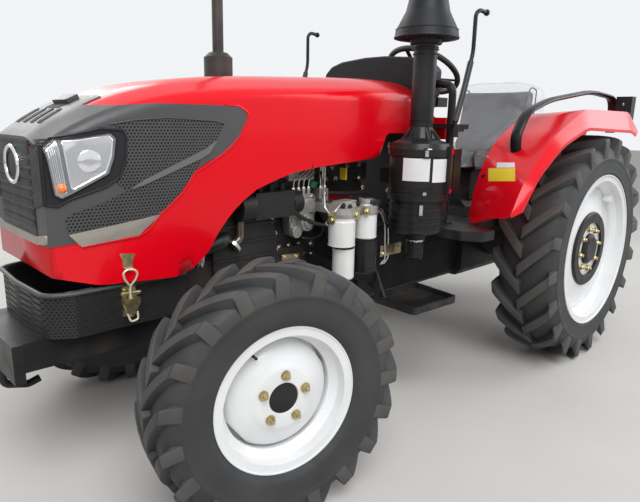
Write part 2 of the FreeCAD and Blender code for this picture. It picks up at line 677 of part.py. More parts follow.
def fuel_filters():
    """Two cast heads with a spin-on filter each, and a third filter and a cylinder on a bracket below."""
    pieces = [cylinder("HeadLeft", ("wheel_base - 517", "350", "830"), (0, 0, 1), "54", "36"),
              cylinder("HeadRight", ("wheel_base - 652", "350", "830"), (0, 0, 1), "48", "34"),
              box("HeadBar", ("wheel_base - 662", "wheel_base - 472"), ("322", "378"), ("842", "862")),
              cylinder("HeadCap", ("wheel_base - 652", "350", "864"), (0, 0, 1), "30", "26"),
              box("FilterArm", ("wheel_base - 547", "wheel_base - 492"), ("engine_half", "330"), ("838", "866"))]
    node(union("FilterHeadCast", pieces), "filter_head")
    left = revolved("FilterA", [("0", "716"), ("46", "716"), ("52", "723"), ("52", "812"), ("50", "817"), ("50", "829.7"), ("0", "829.7")])
    right = revolved("FilterB", [("0", "730"), ("40", "730"), ("45", "736"), ("45", "829.7"), ("0", "829.7")])
    oil = revolved("OilFilter", [("0", "584"), ("37", "584"), ("43", "591"), ("43", "706"), ("0", "706")])
    damper = revolved("SideCylinder", [("0", "590"), ("42", "590"), ("48", "596"), ("48", "724"), ("40", "728"), ("0", "728")])
    place(left, "wheel_base - 517", "350", "0")
    place(right, "wheel_base - 652", "350", "0")
    place(oil, "wheel_base - 530", "350", "0")
    place(damper, "wheel_base - 652", "350", "0")
    foot = box("OilFilterFoot", ("wheel_base - 560", "wheel_base - 500"), ("engine_half", "340"), ("612", "650"))
    bar = box("SideCylinderArm", ("wheel_base - 662", "wheel_base - 530"), ("330", "344"), ("616", "646"))
    node(group("Filters", [left, right, union("LowerFilterSet", [oil, damper, foot, bar])]), "filters")


def injection_pump():
    """Pump body on the block's side, with its drive housing, outlets and governor."""
    pieces = [box("PumpBody", ("wheel_base - 362", "wheel_base - 182"), ("engine_half", "engine_half + 88"), ("836", "930")),
              cylinder("PumpNose", ("wheel_base - 182", "engine_half + 52", "880"), (1, 0, 0), "50", "60"),
              cylinder("PumpGovernor", ("wheel_base - 362", "engine_half + 48", "880"), (-1, 0, 0), "44", "46")]
    for number in range(3):
        pieces.append(cylinder(f"PumpOutlet{number}", (f"wheel_base - 332 + {52 * number}", "engine_half + 46", "930"),
                               (0, 0, 1), "12", "26"))
    return node(union("Pump", pieces), "injection_pump")


def air_cleaner():
    """Canister with a ribbed cup below, a domed lid and the intake pipe above, and the dust bowl under it."""
    cup = [("cleaner_can - 8", "750")]
    for rib_z in (772, 800, 828, 856):
        cup += [("cleaner_can - 8", f"{rib_z}"), ("cleaner_can - 3", f"{rib_z}"), ("cleaner_can - 3", f"{rib_z + 6}"),
                ("cleaner_can - 8", f"{rib_z + 6}")]
    can = revolved("AirCan", [("0", "712"), ("42", "712"), ("46", "730"), ("cleaner_can - 24", "742")] + cup
                   + [("cleaner_can - 8", "878"), ("cleaner_can + 4", "880"), ("cleaner_can + 4", "903"), ("cleaner_can", "906"),
                      ("cleaner_can", "1052"), ("cleaner_can + 4", "1055"), ("cleaner_can + 4", "1082"), ("cleaner_can - 6", "1104"),
                      ("cleaner_can - 50", "1120"), ("62", "1124"), ("46", "1166"), ("46", "1480"), ("0", "1480")])
    cap = revolved("RainCap", [("46.3", "1480"), ("60", "1480"), ("62", "1500"), ("118", "1500"), ("124", "1506"), ("120", "1530"),
                               ("84", "1600"), ("66", "1680"), ("0", "1690"), ("0", "1480.3"), ("46.3", "1480.3")])
    bowl = revolved("DustBowl", [("0", "624"), ("31", "624"), ("37", "632"), ("37", "694"), ("30", "700"), ("30", "711.7"), ("0", "711.7")])
    for piece in (can, cap, bowl):
        place(piece, "cleaner_x", "cleaner_y", "0")
    node(group("AirCleaner", [can, bowl]), "air_cleaner")
    node(cap, "pre_cleaner")


def exhaust():
    """Pipe out of the engine's right side, muffler pot with domed ends, and the bent stack."""
    along = "wheel_base - 452"
    pot = place(revolved("MufflerPot", [("0", "1108"), ("40", "1108"), ("62", "1128"), ("62", "1442"), ("40", "1462"), ("0", "1462")]),
                along, "-365", "0")
    pipe = tube("ExhaustPipe", [(along, "-engine_half", "940"), (along, "-365", "940"), (along, "-365", "1130")], "24", 60)
    stack = tube("ExhaustStack", [(along, "-365", "1440"), (along, "-365", "2060"), (f"{along} - 50", "-365", "2140")], "24", 60)
    return node(union("Exhaust", [pot, pipe, stack]), "exhaust")


cooling()
fuel_filters()
injection_pump()
air_cleaner()
exhaust()


# Hood

# Sections: place along x, side's foot (half width, height), shoulder corner, its radius, crown corner, its radius
HOOD_SECTIONS = [
    ("hood_rear", "hood_half - 6", 1090, "hood_half - 2", "hood_top - 60", 60, 170, "hood_top - 6", 260),
    ("1290", "hood_half - 2", 1000, "hood_half", "hood_top - 66", 56, 168, "hood_top - 8", 260),
    ("1680", "hood_half - 3", 850, "hood_half - 2", "hood_top - 84", 50, 164, "hood_top - 28", 250),
    ("wheel_base + 128", "hood_half - 12", 700, "hood_half - 12", "hood_top - 118", 42, 154, "hood_top - 70", 230),
    ("wheel_base + hood_overhang", "hood_half - 56", 700, "hood_half - 56", "1092", 36, 120, "1122", 180),
]


def hood_solid(name, grow, longer, deeper):
    """The hood's loft, grown by an amount all round; the inner one runs out at the rear and the foot.
    It runs out only a little at the rear, because a longer first span would bulge the skin."""
    body = doc.addObject("PartDesign::Body", name)
    sketches = []
    last = len(HOOD_SECTIONS) - 1
    for number, (x, foot, foot_z, side, side_z, turn, crown, crown_z, bow) in enumerate(HOOD_SECTIONS):
        along = x
        if number == 0:
            along = f"{x} - ({longer})"
        if number == last:
            along = f"{x} + ({grow})"
        sketch = sketch_on(body, "YZ_Plane", f"{name}Section{number}", on_x(along))
        half = [(f"{foot} + ({grow})", f"{foot_z} - ({deeper})"), (f"{side} + ({grow})", f"{side_z} + ({grow})", turn),
                (f"{crown}", f"{crown_z} + ({grow})", bow)]
        mirror = [(f"-({corner[0]})",) + tuple(corner[1:]) for corner in reversed(half)]
        outline(sketch, half + mirror)
        sketches.append(sketch)
    loft = body.newObject("PartDesign::AdditiveLoft", name + "Loft")
    loft.Profile = sketches[0]
    loft.Sections = sketches[1:]
    loft.Ruled = False
    return body


# Lower edge of the hood's side, over the wheel and the air cleaner
HOOD_EDGE = [("700", "500"), ("700", "1138"), ("1100", "1138", 35), ("1140", "1040", 35), ("wheel_base - 342", "1005", 420),
             ("wheel_base + 86", "690", 30), ("wheel_base + 388", "706", 120), ("wheel_base + 658", "790"),
             ("wheel_base + 658", "500")]


def from_front(corners):
    """Corners given from the front axle."""
    return [(f"wheel_base + ({x})", z) + tuple(turn) for x, z, *turn in corners]


# Outlines on the hood's side, from the front axle: the dark inlay and the lamp
INLAY = from_front([(304, 1214), (188, 1224, 20), (-96, 1224), (-136, 1186, 20), (-62, 1090, 60), (68, 1030, 40),
                    (148, 930, 60), (278, 850, 40), (558, 826), (558, 1214)])
LAMP = from_front([(528, 1100), (458, 1124, 20), (330, 1132, 12), (358, 1012, 20), (458, 968, 20), (528, 992)])
NOSE_RIBS = [870, 898, 926, 954, 982, 1010, 1038, 1066]


def hood_knuckles():
    """Two bored ears under the hood's sheet that hang on the hinge pins."""
    bore = cylinder("HingeBore", ("hinge_x", "-120", "hinge_z"), (0, 1, 0), "hinge_pin + shaft_gap", "240")
    ears = []
    for side in (1, -1):
        low = 60 if side > 0 else -80
        ear = union(f"HoodEar{side + 1}", [cylinder(f"HoodEye{side + 1}", ("hinge_x", str(low), "hinge_z"), (0, 1, 0), "17", "20"),
                                           box(f"HoodEarWeb{side + 1}", ("hinge_x - 17", "hinge_x + 17"), (str(low), str(low + 20)),
                                               ("hinge_z", "hood_top - 4.5"))])
        ears.append(minus(f"HoodKnuckle{side + 1}", ear, [bore]))
    return ears


def hood():
    outer = hood_solid("HoodOuter", "0", "0", "0")
    inner = hood_solid("HoodInner", "-hood_skin", "2", "60")
    side_cut = side_plate("HoodEdgeCut", HOOD_EDGE, "-400", "400")
    shell = minus("HoodShell", outer, [inner, side_cut])
    node(union("Hood", [shell] + hood_knuckles()), "hood_shell")
    skin = minus("InlaySkin", hood_solid("InlayOuter", "inlay_skin", "0", "0"), [outer])
    sides = union("InlaySides", [side_plate("InlayLeft", INLAY, "150", "400"), side_plate("InlayRight", INLAY, "-400", "-150")])
    lamp_sides = union("LampSides", [side_plate("LampLeft", LAMP, "150", "400"), side_plate("LampRight", LAMP, "-400", "-150")])
    inlays = minus("SideInlays", common("InlayBand", [skin, sides]), [lamp_sides])
    thick_skin = minus("LampSkin", hood_solid("LampOuter", "inlay_skin + 3", "0", "0"), [outer])
    node(common("Lamps", [thick_skin, lamp_sides]), "headlamps")
    nose_block = box("NoseBlock", ("wheel_base + 304", "wheel_base + 658"), ("-150", "150"), ("826", "1400"))
    bars = [box(f"NoseBar{number}", ("wheel_base + 428", "wheel_base + 658"), ("-150", "150"), (z, z + 12))
            for number, z in enumerate(NOSE_RIBS)]
    nose = union("NoseGrille", [common("NoseSkin", [skin, nose_block]), common("NoseRibs", [thick_skin, group("NoseBars", bars)])])
    node(group("Grilles", [inlays, nose]), "grilles")


hood()


def skirt():
    """Perforated black skirt under the nose, standing on the frame."""
    outer = level_plate("SkirtOuter", from_front([(98, -236), (458, -236, 30), (528, -190, 60), (538, 0), (528, 190, 60),
                                                  (458, 236, 30), (98, 236)]), "556", "685")
    inner = level_plate("SkirtInner", from_front([(88, -232), (456, -232, 28), (524, -188, 58), (534, 0), (524, 188, 58),
                                                  (456, 232, 28), (88, 232)]), "550", "690")
    return node(minus("Skirt", outer, [inner]), "skirt")


skirt()


# Driver's place

def console():
    cowl = front_plate("CowlFront", [("-430", "1000"), ("430", "1000"), ("420", "1420", 60), ("250", "1498", 200), ("-250", "1498", 200),
                                     ("-420", "1420", 60)], "770", "790")
    column = box("ColumnCover", ("600", "770"), ("-120", "120"), ("760", "1340"))
    foot = box("Firewall", ("790", "830"), ("-260", "260"), ("830", "1300"))
    base = box("ConsoleFoot", ("640", "830"), ("-150", "150"), ("floor_z - 40", "830"))
    arm = box("CleanerArm", ("830", "cleaner_x + 20"), ("236", "256"), ("930", "990"))
    saddle = box("CleanerSaddle", ("cleaner_x - 20", "cleaner_x + 20"), ("256", "cleaner_y - cleaner_can - 0.3"), ("930", "990"))
    ears = box("MirrorBracket", ("812", "862"), ("-488.2", "488.2"), ("1160", "1180"))
    parts = [cowl, column, foot, base, arm, saddle, ears, steering_wheel()] + hinge_brackets()
    return node(union("Console", parts), "console")


def hinge_brackets():
    """Goosenecks on the firewall that hold the hood hinge's pin, low enough for the raised hood's rear edge."""
    shape = [("830", "hinge_z - 128"), ("hinge_x + 16", "hinge_z - 128"), ("hinge_x + 16", "hinge_z + 16"),
             ("hinge_x - 16", "hinge_z + 16"), ("hinge_x - 16", "hinge_z - 84"), ("830", "hinge_z - 84")]
    left = side_plate("HingeBracketLeft", shape, "86", "98")
    pin = cylinder("HingePin", ("hinge_x", "-104", "hinge_z"), (0, 1, 0), "hinge_pin", "208")
    return [left, mirrored("HingeBracketRight", left), pin]


WHEEL_CENTRE = ("490", "0", "1440")
WHEEL_TILT = 32


def steering_wheel():
    tilt = Rotation(Vector(0, 1, 0), -WHEEL_TILT)
    ring = doc.addObject("Part::Torus", "WheelRing")
    bind(ring, "Radius1", "steering_wheel_radius - 14")
    ring.Radius2 = 14
    spokes = []
    for number in range(3):
        spoke = doc.addObject("Part::Cylinder", f"Spoke{number}")
        spoke.Radius = 8
        bind(spoke, "Height", "steering_wheel_radius - 14")
        spoke.Placement = Placement(Vector(0, 0, -12), turned_to((math.cos(math.radians(120 * number)),
                                                                  math.sin(math.radians(120 * number)), 0.065)))
        spokes.append(spoke)
    hub = doc.addObject("Part::Cylinder", "WheelHub")
    hub.Radius = 34
    hub.Height = 50
    hub.Placement = Placement(Vector(0, 0, -40), Rotation())
    wheel = union("SteeringWheel", [ring, hub] + spokes)
    doc.recompute()
    standing = doc.addObject("Part::Feature", "SteeringWheelStanding")
    standing.Shape = wheel.Shape.copy()
    standing.Placement = Placement(Vector(), tilt)
    place(standing, *WHEEL_CENTRE)
    axis = tilt.multVec(Vector(0, 0, 1))
    start = Vector(value(on_x(WHEEL_CENTRE[0])), 0, value(WHEEL_CENTRE[2])) - axis * (40 + value("running_gap"))
    shaft = doc.addObject("Part::Feature", "SteeringColumn")
    shaft.Shape = Part.makeCylinder(24, 260, start, -axis)
    node(standing, "steering_wheel")
    return shaft


def platform():
    left = level_plate("FloorLeft", [("300", "150"), ("930", "150"), ("930", "560", 30), ("880", "640", 30), ("790", "640"), ("730", "488"),
                                     ("300", "488")], "floor_z - 40", "floor_z")
    right = mirrored("FloorRight", left)
    middle = box("FloorMiddle", ("300", "640"), ("-150", "150"), ("floor_z - 40", "floor_z"))
    node(union("Platform", [left, right, middle]), "platform")


def steps():
    """Treads with a raised rim, each hung from the clutch housing's side."""
    tray = level_plate("Tread", [("905", "335"), ("1210", "335"), ("1220", "560", 20), ("940", "575", 20)], "440", "470")
    well = level_plate("TreadWell", [("925", "349"), ("1197", "349"), ("1206", "547", 16), ("954", "561", 16)], "452", "480")
    hanger = front_plate("Hanger", [("200", "560"), ("200", "700"), ("250", "700"), ("372", "446"), ("335", "446")], "1160", "1172")
    left = union("StepLeft", [minus("TreadTray", tray, [well]), hanger])
    node(group("Steps", [left, mirrored("StepRight", left)]), "steps")


def seat():
    stand = box("SeatStandBox", ("-130", "240"), ("-170", "170"), ("780", "935"))
    cushion = side_plate("Cushion", [("-150", "936"), ("300", "936", 30), ("330", "1040", 40), ("-150", "1010", 30)], "-230", "230")
    back = side_plate("Backrest", [("-170", "960"), ("-160", "1060"), ("-230", "1395", 50), ("-330", "1385", 40), ("-290", "960", 30)],
                      "-230", "230")
    node(cushion, "seat_cushion")
    node(back, "seat_back")
    frame = side_plate("SeatFrame", [("-130", "935.7"), ("-130", "780"), ("-200", "780"), ("-355", "960"), ("-395", "1330"),
                                     ("-325.1", "1330"), ("-290.3", "960"), ("-270", "935.7")], "-60", "60")
    node(union("SeatStand", [stand, frame]), "seat_stand")


console()
platform()
steps()
seat()


# Fenders: corners of the top line from the front, at the inner wall, the crease and the outer edge

FENDER_TOP = {
    "inner": [(757, 775), (715, 950, 500), (585, 1110, 350), (330, 1232, 350), (-290, 1246, 150), (-440, 1165)],
    "crease": [(930, 827), (845, 955, 350), (630, 1131, 450), (330, 1257, 250), (-215, 1257, 120), (-396, 1160)],
    "outer": [(904, 852), (785, 990, 350), (600, 1105, 450), (360, 1178, 300), (-180, 1167, 80), (-268, 1149)],
}
FENDER_FOOT = {
    "inner": [(705, 775), (668, 930, 450), (560, 1065, 300), (325, 1176, 300), (-270, 1190, 110), (-408, 1108)],
    "crease": [(884, 827), (808, 925, 300), (608, 1085, 400), (322, 1198, 220), (-205, 1190, 90), (-372, 1105)],
    "outer": [(892, 852), (775, 980, 340), (594, 1092, 440), (358, 1164, 290), (-178, 1153, 70), (-262, 1136)],
}


FENDER_BANDS = [("inner", f"{FENDER_INNER} - 2"), ("crease", FENDER_CREASE), ("outer", FENDER_OUTER)]


def fender_solid(name, planes, drop, extra):
    """A loft of bands across y; drop lowers the top line, extra carries the foot and ends out for a cavity."""
    body = doc.addObject("PartDesign::Body", name)
    sketches = []
    for number, (line, y) in enumerate(planes):
        top = list(FENDER_TOP[line])
        foot = list(FENDER_FOOT[line])
        corners = []
        for index, corner in enumerate(top):
            x, z = corner[0] - drop * 0.8, corner[1] - drop
            if index == 0:
                x, z = x + extra * 0.38, z - extra
            if index == len(top) - 1:
                x, z = x + drop * 1.6 - extra, z - extra * 0.587
            corners.append((on_x(x), z) + tuple(corner[2:]))
        for index, corner in reversed(list(enumerate(foot))):
            x, z = corner[0] - extra, corner[1] - extra
            if index == 0:
                z = corner[1] - extra
            corners.append((on_x(x), z) + tuple(corner[2:]))
        sketch = sketch_on(body, "XZ_Plane", f"{name}Band{number}", f"-({y})")
        outline(sketch, corners)
        sketches.append(sketch)
    loft = body.newObject("PartDesign::AdditiveLoft", name + "Loft")
    loft.Profile = sketches[0]
    loft.Sections = sketches[1:]
    loft.Ruled = True
    return body


def fenders():
    outer = fender_solid("FenderOuter", FENDER_BANDS, 0, 0)
    cavity = fender_solid("FenderCavity", [("inner", f"{FENDER_INNER} + 2"), ("crease", f"{FENDER_CREASE} - 2"),
                                           ("outer", f"{FENDER_OUTER} - 3")], 4, 40)
    wall = side_plate("FenderWall", [("700", "floor_z"), ("735", "floor_z"), ("650", "1010", 500), ("350", "1215", 400), ("-240", "1222", 100),
                                     ("-380", "1150"), ("-330", "900", 60), ("-220", "floor_z")],
                      f"{FENDER_INNER} - 6", f"{FENDER_INNER} - 2")
    left = union("FenderLeft", [minus("FenderShell", outer, [cavity]), wall])
    node(group("Fenders", [left, mirrored("FenderRight", left)]), "fenders")


fenders()


def fender_rails():
    """Hand rails over the fenders, and a grab rail from the platform to the cowl on each side."""
    bar = oval_bar("FenderRailBar", [("640", "630", "1040"), ("672", "630", "1130", 60), ("600", "630", "1235", 120),
                                     ("400", "630", "1293", 200), ("-60", "630", "1352", 300), ("-388", "630", "1334", 45),
                                     ("-394", "630", "1150")], 25, 11)
    left = minus("FenderRailLeft", bar, [fender_solid("FenderClear", FENDER_BANDS, -0.3, 0)])
    grab = tube("GrabRail", [("620", "400", "floor_z"), ("620", "400", "1385"), ("770", "400", "1385")], "17", 60)
    node(group("FenderRails", [left, mirrored("FenderRailRight", left), grab, mirrored("GrabRailRight", grab)]), "fender_rails")
    lamp = box("LampLeftBox", ("-410", "-355"), ("655.3", "735"), ("1220", "1340"))
    node(group("RearLamps", [lamp, mirrored("LampRightBox", lamp)]), "rear_lamps")


def mirror_arms():
    left = tube("MirrorArmLeft", [("850", "497.5", "1100"), ("831", "497.5", "1476"), ("823", "497.5", "1622"), ("800", "560", "1645")], "9", 20)
    node(group("MirrorArms", [left, mirrored("MirrorArmRight", left)]), "mirror_arms")


def rear_linkage():
    """Lift arms on a cross shaft, lift rods, lower links with ball eyes, a top link and a drawbar."""
    arms = [cylinder("LiftShaft", ("lift_x", "-272", "lift_z"), (0, 1, 0), "lift_shaft", "544")]
    for side in (1, -1):
        low = 245 if side > 0 else -269
        arms.append(side_plate(f"LiftArm{side + 1}", [("lift_x + 40", "lift_z - 30", 20), ("lift_x + 30", "lift_z + 45", 20),
                                                      ("lift_x - 330", "lift_z + 80", 20), ("lift_x - 330", "lift_z + 30", 20)],
                               str(low), str(low + 24)))
    pin_bore = cylinder("RodPinBore", ("lift_x - 305", "-300", "lift_z + 55"), (0, 1, 0), "10 + shaft_gap", "600")
    node(minus("LiftArmsBored", union("LiftArms", arms), [pin_bore]), "lift_arms")
    rods = []
    for side in (1, -1):
        low = 275 if side > 0 else -311
        rods.append(side_plate(f"LiftRod{side + 1}", [("lift_x - 285", "lift_z + 85", 15), ("lift_x - 325", "lift_z + 75", 15),
                                                      ("link_x - 490", "link_z - 5", 15), ("link_x - 450", "link_z + 5", 15)],
                               str(low), str(low + 36)))
        rods.append(cylinder(f"RodPin{side + 1}", ("lift_x - 305", str(243 if side > 0 else -290), "lift_z + 55"), (0, 1, 0), "10", "47"))
    node(group("LiftRods", [union("LiftRodLeft", rods[:2]), union("LiftRodRight", rods[2:])]), "lift_rods")
    links = []
    for side in (1, -1):
        low = 330 if side > 0 else -354
        bar = side_plate(f"LowerLink{side + 1}", [("link_x + 40", "link_z - 34", 25), ("link_x + 40", "link_z + 36", 25),
                                                  ("link_end + 20", "500", 20), ("link_end + 20", "450", 20)], str(low), str(low + 24))
        hole = cylinder(f"LinkBore{side + 1}", ("link_x", f"{low - 5}", "link_z"), (0, 1, 0), "link_pin + shaft_gap", "34")
        eye = cylinder(f"LinkEye{side + 1}", ("link_end + 35", f"{low - 8}", "475"), (0, 1, 0), "35", "40")
        ball = cylinder(f"LinkBall{side + 1}", ("link_end + 35", f"{low - 9}", "475"), (0, 1, 0), "link_eye", "42")
        links.append(minus(f"LinkWhole{side + 1}", union(f"LinkBarEye{side + 1}", [bar, eye]), [hole, ball]))
    node(group("LowerLinks", links), "lower_links")
    drawbar = union("DrawbarSet", [level_plate("Drawbar", [("-210", "-40"), ("-210", "40"), ("-720", "40", 30), ("-720", "-40", 30)],
                                               "376", "400"),
                                   box("DrawbarFrame", ("-260", "-210"), ("-120", "120"), ("370", "430"))])
    hole = cylinder("DrawbarHole", ("-690", "0", "370"), (0, 0, 1), "drawbar_hole", "40")
    bar = cylinder("TopLinkBar", ("-248", "0", "668"), (-0.9, 0, 0.436), "16", "416")
    eye = cylinder("TopLinkEye", ("-626", "-22", "851"), (0, 1, 0), "24", "44")
    bracket = box("TopLinkBracket", ("-264", "-210"), ("-40", "40"), ("630", "710"))
    top_bore = cylinder("TopLinkBore", ("-626", "-24", "851"), (0, 1, 0), "top_link_eye", "48")
    top_link = minus("TopLinkBored", union("TopLinkSet", [bar, eye, bracket]), [top_bore])
    node(group("RearHitch", [minus("DrawbarBored", drawbar, [hole]), top_link]), "rear_hitch")


fender_rails()
mirror_arms()
rear_linkage()


def write_parts():
    doc.recompute()
    for thing in doc.Objects:
        if "Invalid" in thing.State or "Error" in thing.State:
            raise RuntimeError(f"{thing.Name} failed: {thing.State}")
    wrong = [thing.Label for thing in NODES
             if thing.Shape.isNull() or not thing.Shape.isValid() or not thing.Shape.Solids]
    if wrong:
        raise RuntimeError("No valid shape: " + ", ".join(wrong))
    os.makedirs("parts", exist_ok=True)
    for thing in NODES:
        thing.Shape.exportStep(f"parts/{thing.Label}.step")
        print(thing.Label, len(thing.Shape.Solids), "solids", round(thing.Shape.Volume / 1e6, 2), "litres",
              [round(edge) for edge in (thing.Shape.BoundBox.XMin, thing.Shape.BoundBox.XMax, thing.Shape.BoundBox.YMin,
                                        thing.Shape.BoundBox.YMax, thing.Shape.BoundBox.ZMin, thing.Shape.BoundBox.ZMax)])


write_parts()
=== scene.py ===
import math
import random

import bmesh
import bpy
from mathutils import Matrix, Vector
from mathutils.bvhtree import BVHTree
from mathutils.geometry import delaunay_2d_cdt


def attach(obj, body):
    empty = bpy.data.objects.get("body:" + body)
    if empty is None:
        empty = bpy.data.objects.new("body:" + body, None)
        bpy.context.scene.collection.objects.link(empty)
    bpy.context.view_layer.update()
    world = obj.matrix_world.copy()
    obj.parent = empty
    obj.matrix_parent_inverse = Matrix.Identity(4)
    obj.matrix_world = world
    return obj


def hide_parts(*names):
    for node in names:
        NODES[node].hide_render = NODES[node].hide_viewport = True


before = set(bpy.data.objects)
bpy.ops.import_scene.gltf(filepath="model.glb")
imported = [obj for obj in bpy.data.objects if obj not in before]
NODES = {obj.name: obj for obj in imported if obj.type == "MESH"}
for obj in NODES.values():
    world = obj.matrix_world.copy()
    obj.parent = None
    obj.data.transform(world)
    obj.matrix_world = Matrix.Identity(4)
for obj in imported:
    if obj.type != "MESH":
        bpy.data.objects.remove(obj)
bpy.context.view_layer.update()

# Positions are in millimetres; those along X are counted from the rear axle
REAR_AXLE = -760
WHEEL_BASE = 1942
STEER_REST = math.radians(12.2)
KINGPIN_Y = 470
FRONT_TRACK = 1240
REAR_TRACK = 1300


def spot(x, y, z):
    return Vector(((x + REAR_AXLE) / 1000, y / 1000, z / 1000))


# Materials

def nodes_of(name):
    made = bpy.data.materials.new(name)
    made.use_nodes = True
    tree = made.node_tree
    shader = tree.nodes["Principled BSDF"]
    return made, tree, shader


def noise(tree, scale, detail=5.0, stretch=None):
    """Noise in the piece's own coordinates, so that it moves with the piece."""
    place = tree.nodes.new("ShaderNodeTexCoord")
    source = place.outputs["Object"]
    if stretch:
        mapping = tree.nodes.new("ShaderNodeMapping")
        mapping.inputs["Scale"].default_value = stretch
        tree.links.new(source, mapping.inputs["Vector"])
        source = mapping.outputs["Vector"]
    texture = tree.nodes.new("ShaderNodeTexNoise")
    texture.inputs["Scale"].default_value = scale
    texture.inputs["Detail"].default_value = detail
    tree.links.new(source, texture.inputs["Vector"])
    return texture.outputs["Fac"]


def mapped(tree, source, from_low, from_high, to_low, to_high):
    ranged = tree.nodes.new("ShaderNodeMapRange")
    ranged.inputs["From Min"].default_value = from_low
    ranged.inputs["From Max"].default_value = from_high
    ranged.inputs["To Min"].default_value = to_low
    ranged.inputs["To Max"].default_value = to_high
    tree.links.new(source, ranged.inputs["Value"])
    return ranged.outputs["Result"]


def mixed(tree, factor, first, second):
    """A colour mix; first and second are colours or sockets."""
    mix = tree.nodes.new("ShaderNodeMix")
    mix.data_type = "RGBA"
    tree.links.new(factor, mix.inputs["Factor"])
    for value, socket in ((first, mix.inputs["A"]), (second, mix.inputs["B"])):
        if isinstance(value, tuple):
            socket.default_value = value + (1.0,)
        else:
            tree.links.new(value, socket)
    return mix.outputs["Result"]


def scaled(colour, share):
    return tuple(min(1.0, part * share) for part in colour)


def finish_surface(tree, shader, colour, rough, vary, vary_scale, rough_vary, bump, bump_scale, dust, dust_colour):
    """Colour drift, dust, drifting gloss and a fine bump, all from noise."""
    drift = mapped(tree, noise(tree, vary_scale), 0.3, 0.7, 0.0, 1.0)
    result = mixed(tree, drift, scaled(colour, 1 - vary), scaled(colour, 1 + vary))
    if dust:
        cover = mapped(tree, noise(tree, 7.0, 8.0), 0.42, 0.72, 0.0, dust)
        result = mixed(tree, cover, result, dust_colour)
    tree.links.new(result, shader.inputs["Base Color"])
    gloss = mapped(tree, noise(tree, vary_scale * 1.7), 0.3, 0.7, max(0.02, rough - rough_vary), rough + rough_vary)
    tree.links.new(gloss, shader.inputs["Roughness"])
    if bump:
        raised = tree.nodes.new("ShaderNodeBump")
        raised.inputs["Strength"].default_value = bump
        raised.inputs["Distance"].default_value = 0.001
        tree.links.new(noise(tree, bump_scale, 3.0), raised.inputs["Height"])
        tree.links.new(raised.outputs["Normal"], shader.inputs["Normal"])
    return result


def surface(name, colour, rough, metal=0.0, coat=0.0, vary=0.10, vary_scale=14.0, rough_vary=0.05,
            bump=0.15, bump_scale=400.0, dust=0.0, dust_colour=(0.32, 0.28, 0.23), shine=0.5):
    made, tree, shader = nodes_of(name)
    shader.inputs["Metallic"].default_value = metal
    shader.inputs["Specular IOR Level"].default_value = shine
    shader.inputs["Coat Weight"].default_value = coat
    shader.inputs["Coat Roughness"].default_value = 0.06
    finish_surface(tree, shader, colour, rough, vary, vary_scale, rough_vary, bump, bump_scale, dust, dust_colour)
    return made


def perforated(name, colour, hole, pitch, across, up, rough=0.5):
    """Round holes in rows set half a pitch apart; across and up name the object's axes, pitch in metres. The holes are
    not cut: they are painted near-black as painted shade of the space behind the sheet.
    """
    made, tree, shader = nodes_of(name)
    place = tree.nodes.new("ShaderNodeTexCoord")
    split = tree.nodes.new("ShaderNodeSeparateXYZ")
    tree.links.new(place.outputs["Object"], split.inputs["Vector"])
    flat = tree.nodes.new("ShaderNodeCombineXYZ")
    tree.links.new(split.outputs[across], flat.inputs["X"])
    tree.links.new(split.outputs[up], flat.inputs["Y"])
    row = pitch * math.sqrt(3)
    distances = []
    for shift in (0.0, 0.5):
        unit = tree.nodes.new("ShaderNodeVectorMath")
        unit.operation = "MULTIPLY_ADD"
        unit.inputs[1].default_value = (1 / pitch, 1 / row, 0)
        unit.inputs[2].default_value = (shift + 100, shift + 100, 0)
        tree.links.new(flat.outputs["Vector"], unit.inputs[0])
        part = tree.nodes.new("ShaderNodeVectorMath")
        part.operation = "FRACTION"
        tree.links.new(unit.outputs["Vector"], part.inputs[0])
        centred = tree.nodes.new("ShaderNodeVectorMath")
        centred.operation = "MULTIPLY_ADD"
        centred.inputs[1].default_value = (pitch, row, 0)
        centred.inputs[2].default_value = (-pitch / 2, -row / 2, 0)
        tree.links.new(part.outputs["Vector"], centred.inputs[0])
        length = tree.nodes.new("ShaderNodeVectorMath")
        length.operation = "LENGTH"
        tree.links.new(centred.outputs["Vector"], length.inputs[0])
        distances.append(length.outputs["Value"])
    nearest = tree.nodes.new("ShaderNodeMath")
    nearest.operation = "MINIMUM"
    tree.links.new(distances[0], nearest.inputs[0])
    tree.links.new(distances[1], nearest.inputs[1])
    wall = mapped(tree, nearest.outputs["Value"], hole / 2 - 0.0004, hole / 2 + 0.0004, 0.0, 1.0)
    drift = mapped(tree, noise(tree, 14.0), 0.3, 0.7, 0.0, 1.0)
    sheet_colour = mixed(tree, drift, scaled(colour, 0.88), scaled(colour, 1.12))
    # near-black inside the holes is painted shade of the space behind the sheet
    tree.links.new(mixed(tree, wall, (0.002, 0.002, 0.002), sheet_colour), shader.inputs["Base Color"])
    tree.links.new(mapped(tree, wall, 0.0, 1.0, 0.9, rough), shader.inputs["Roughness"])
    raised = tree.nodes.new("ShaderNodeBump")
    raised.inputs["Strength"].default_value = 0.8
    raised.inputs["Distance"].default_value = 0.002
    tree.links.new(wall, raised.inputs["Height"])
    tree.links.new(raised.outputs["Normal"], shader.inputs["Normal"])
    return made


def clear(name, colour, rough, alpha, bump=0.0, bump_scale=30.0):
    """Clear plastic or glass as a thin skin."""
    made, tree, shader = nodes_of(name)
    shader.inputs["Base Color"].default_value = colour + (1.0,)
    shader.inputs["Alpha"].default_value = alpha
    shader.inputs["Specular IOR Level"].default_value = 0.8
    tree.links.new(mapped(tree, noise(tree, 20.0), 0.3, 0.7, rough * 0.7, rough * 1.4), shader.inputs["Roughness"])
    if bump:
        raised = tree.nodes.new("ShaderNodeBump")
        raised.inputs["Strength"].default_value = bump
        raised.inputs["Distance"].default_value = 0.01
        tree.links.new(noise(tree, bump_scale, 4.0), raised.inputs["Height"])
        tree.links.new(raised.outputs["Normal"], shader.inputs["Normal"])
    return made


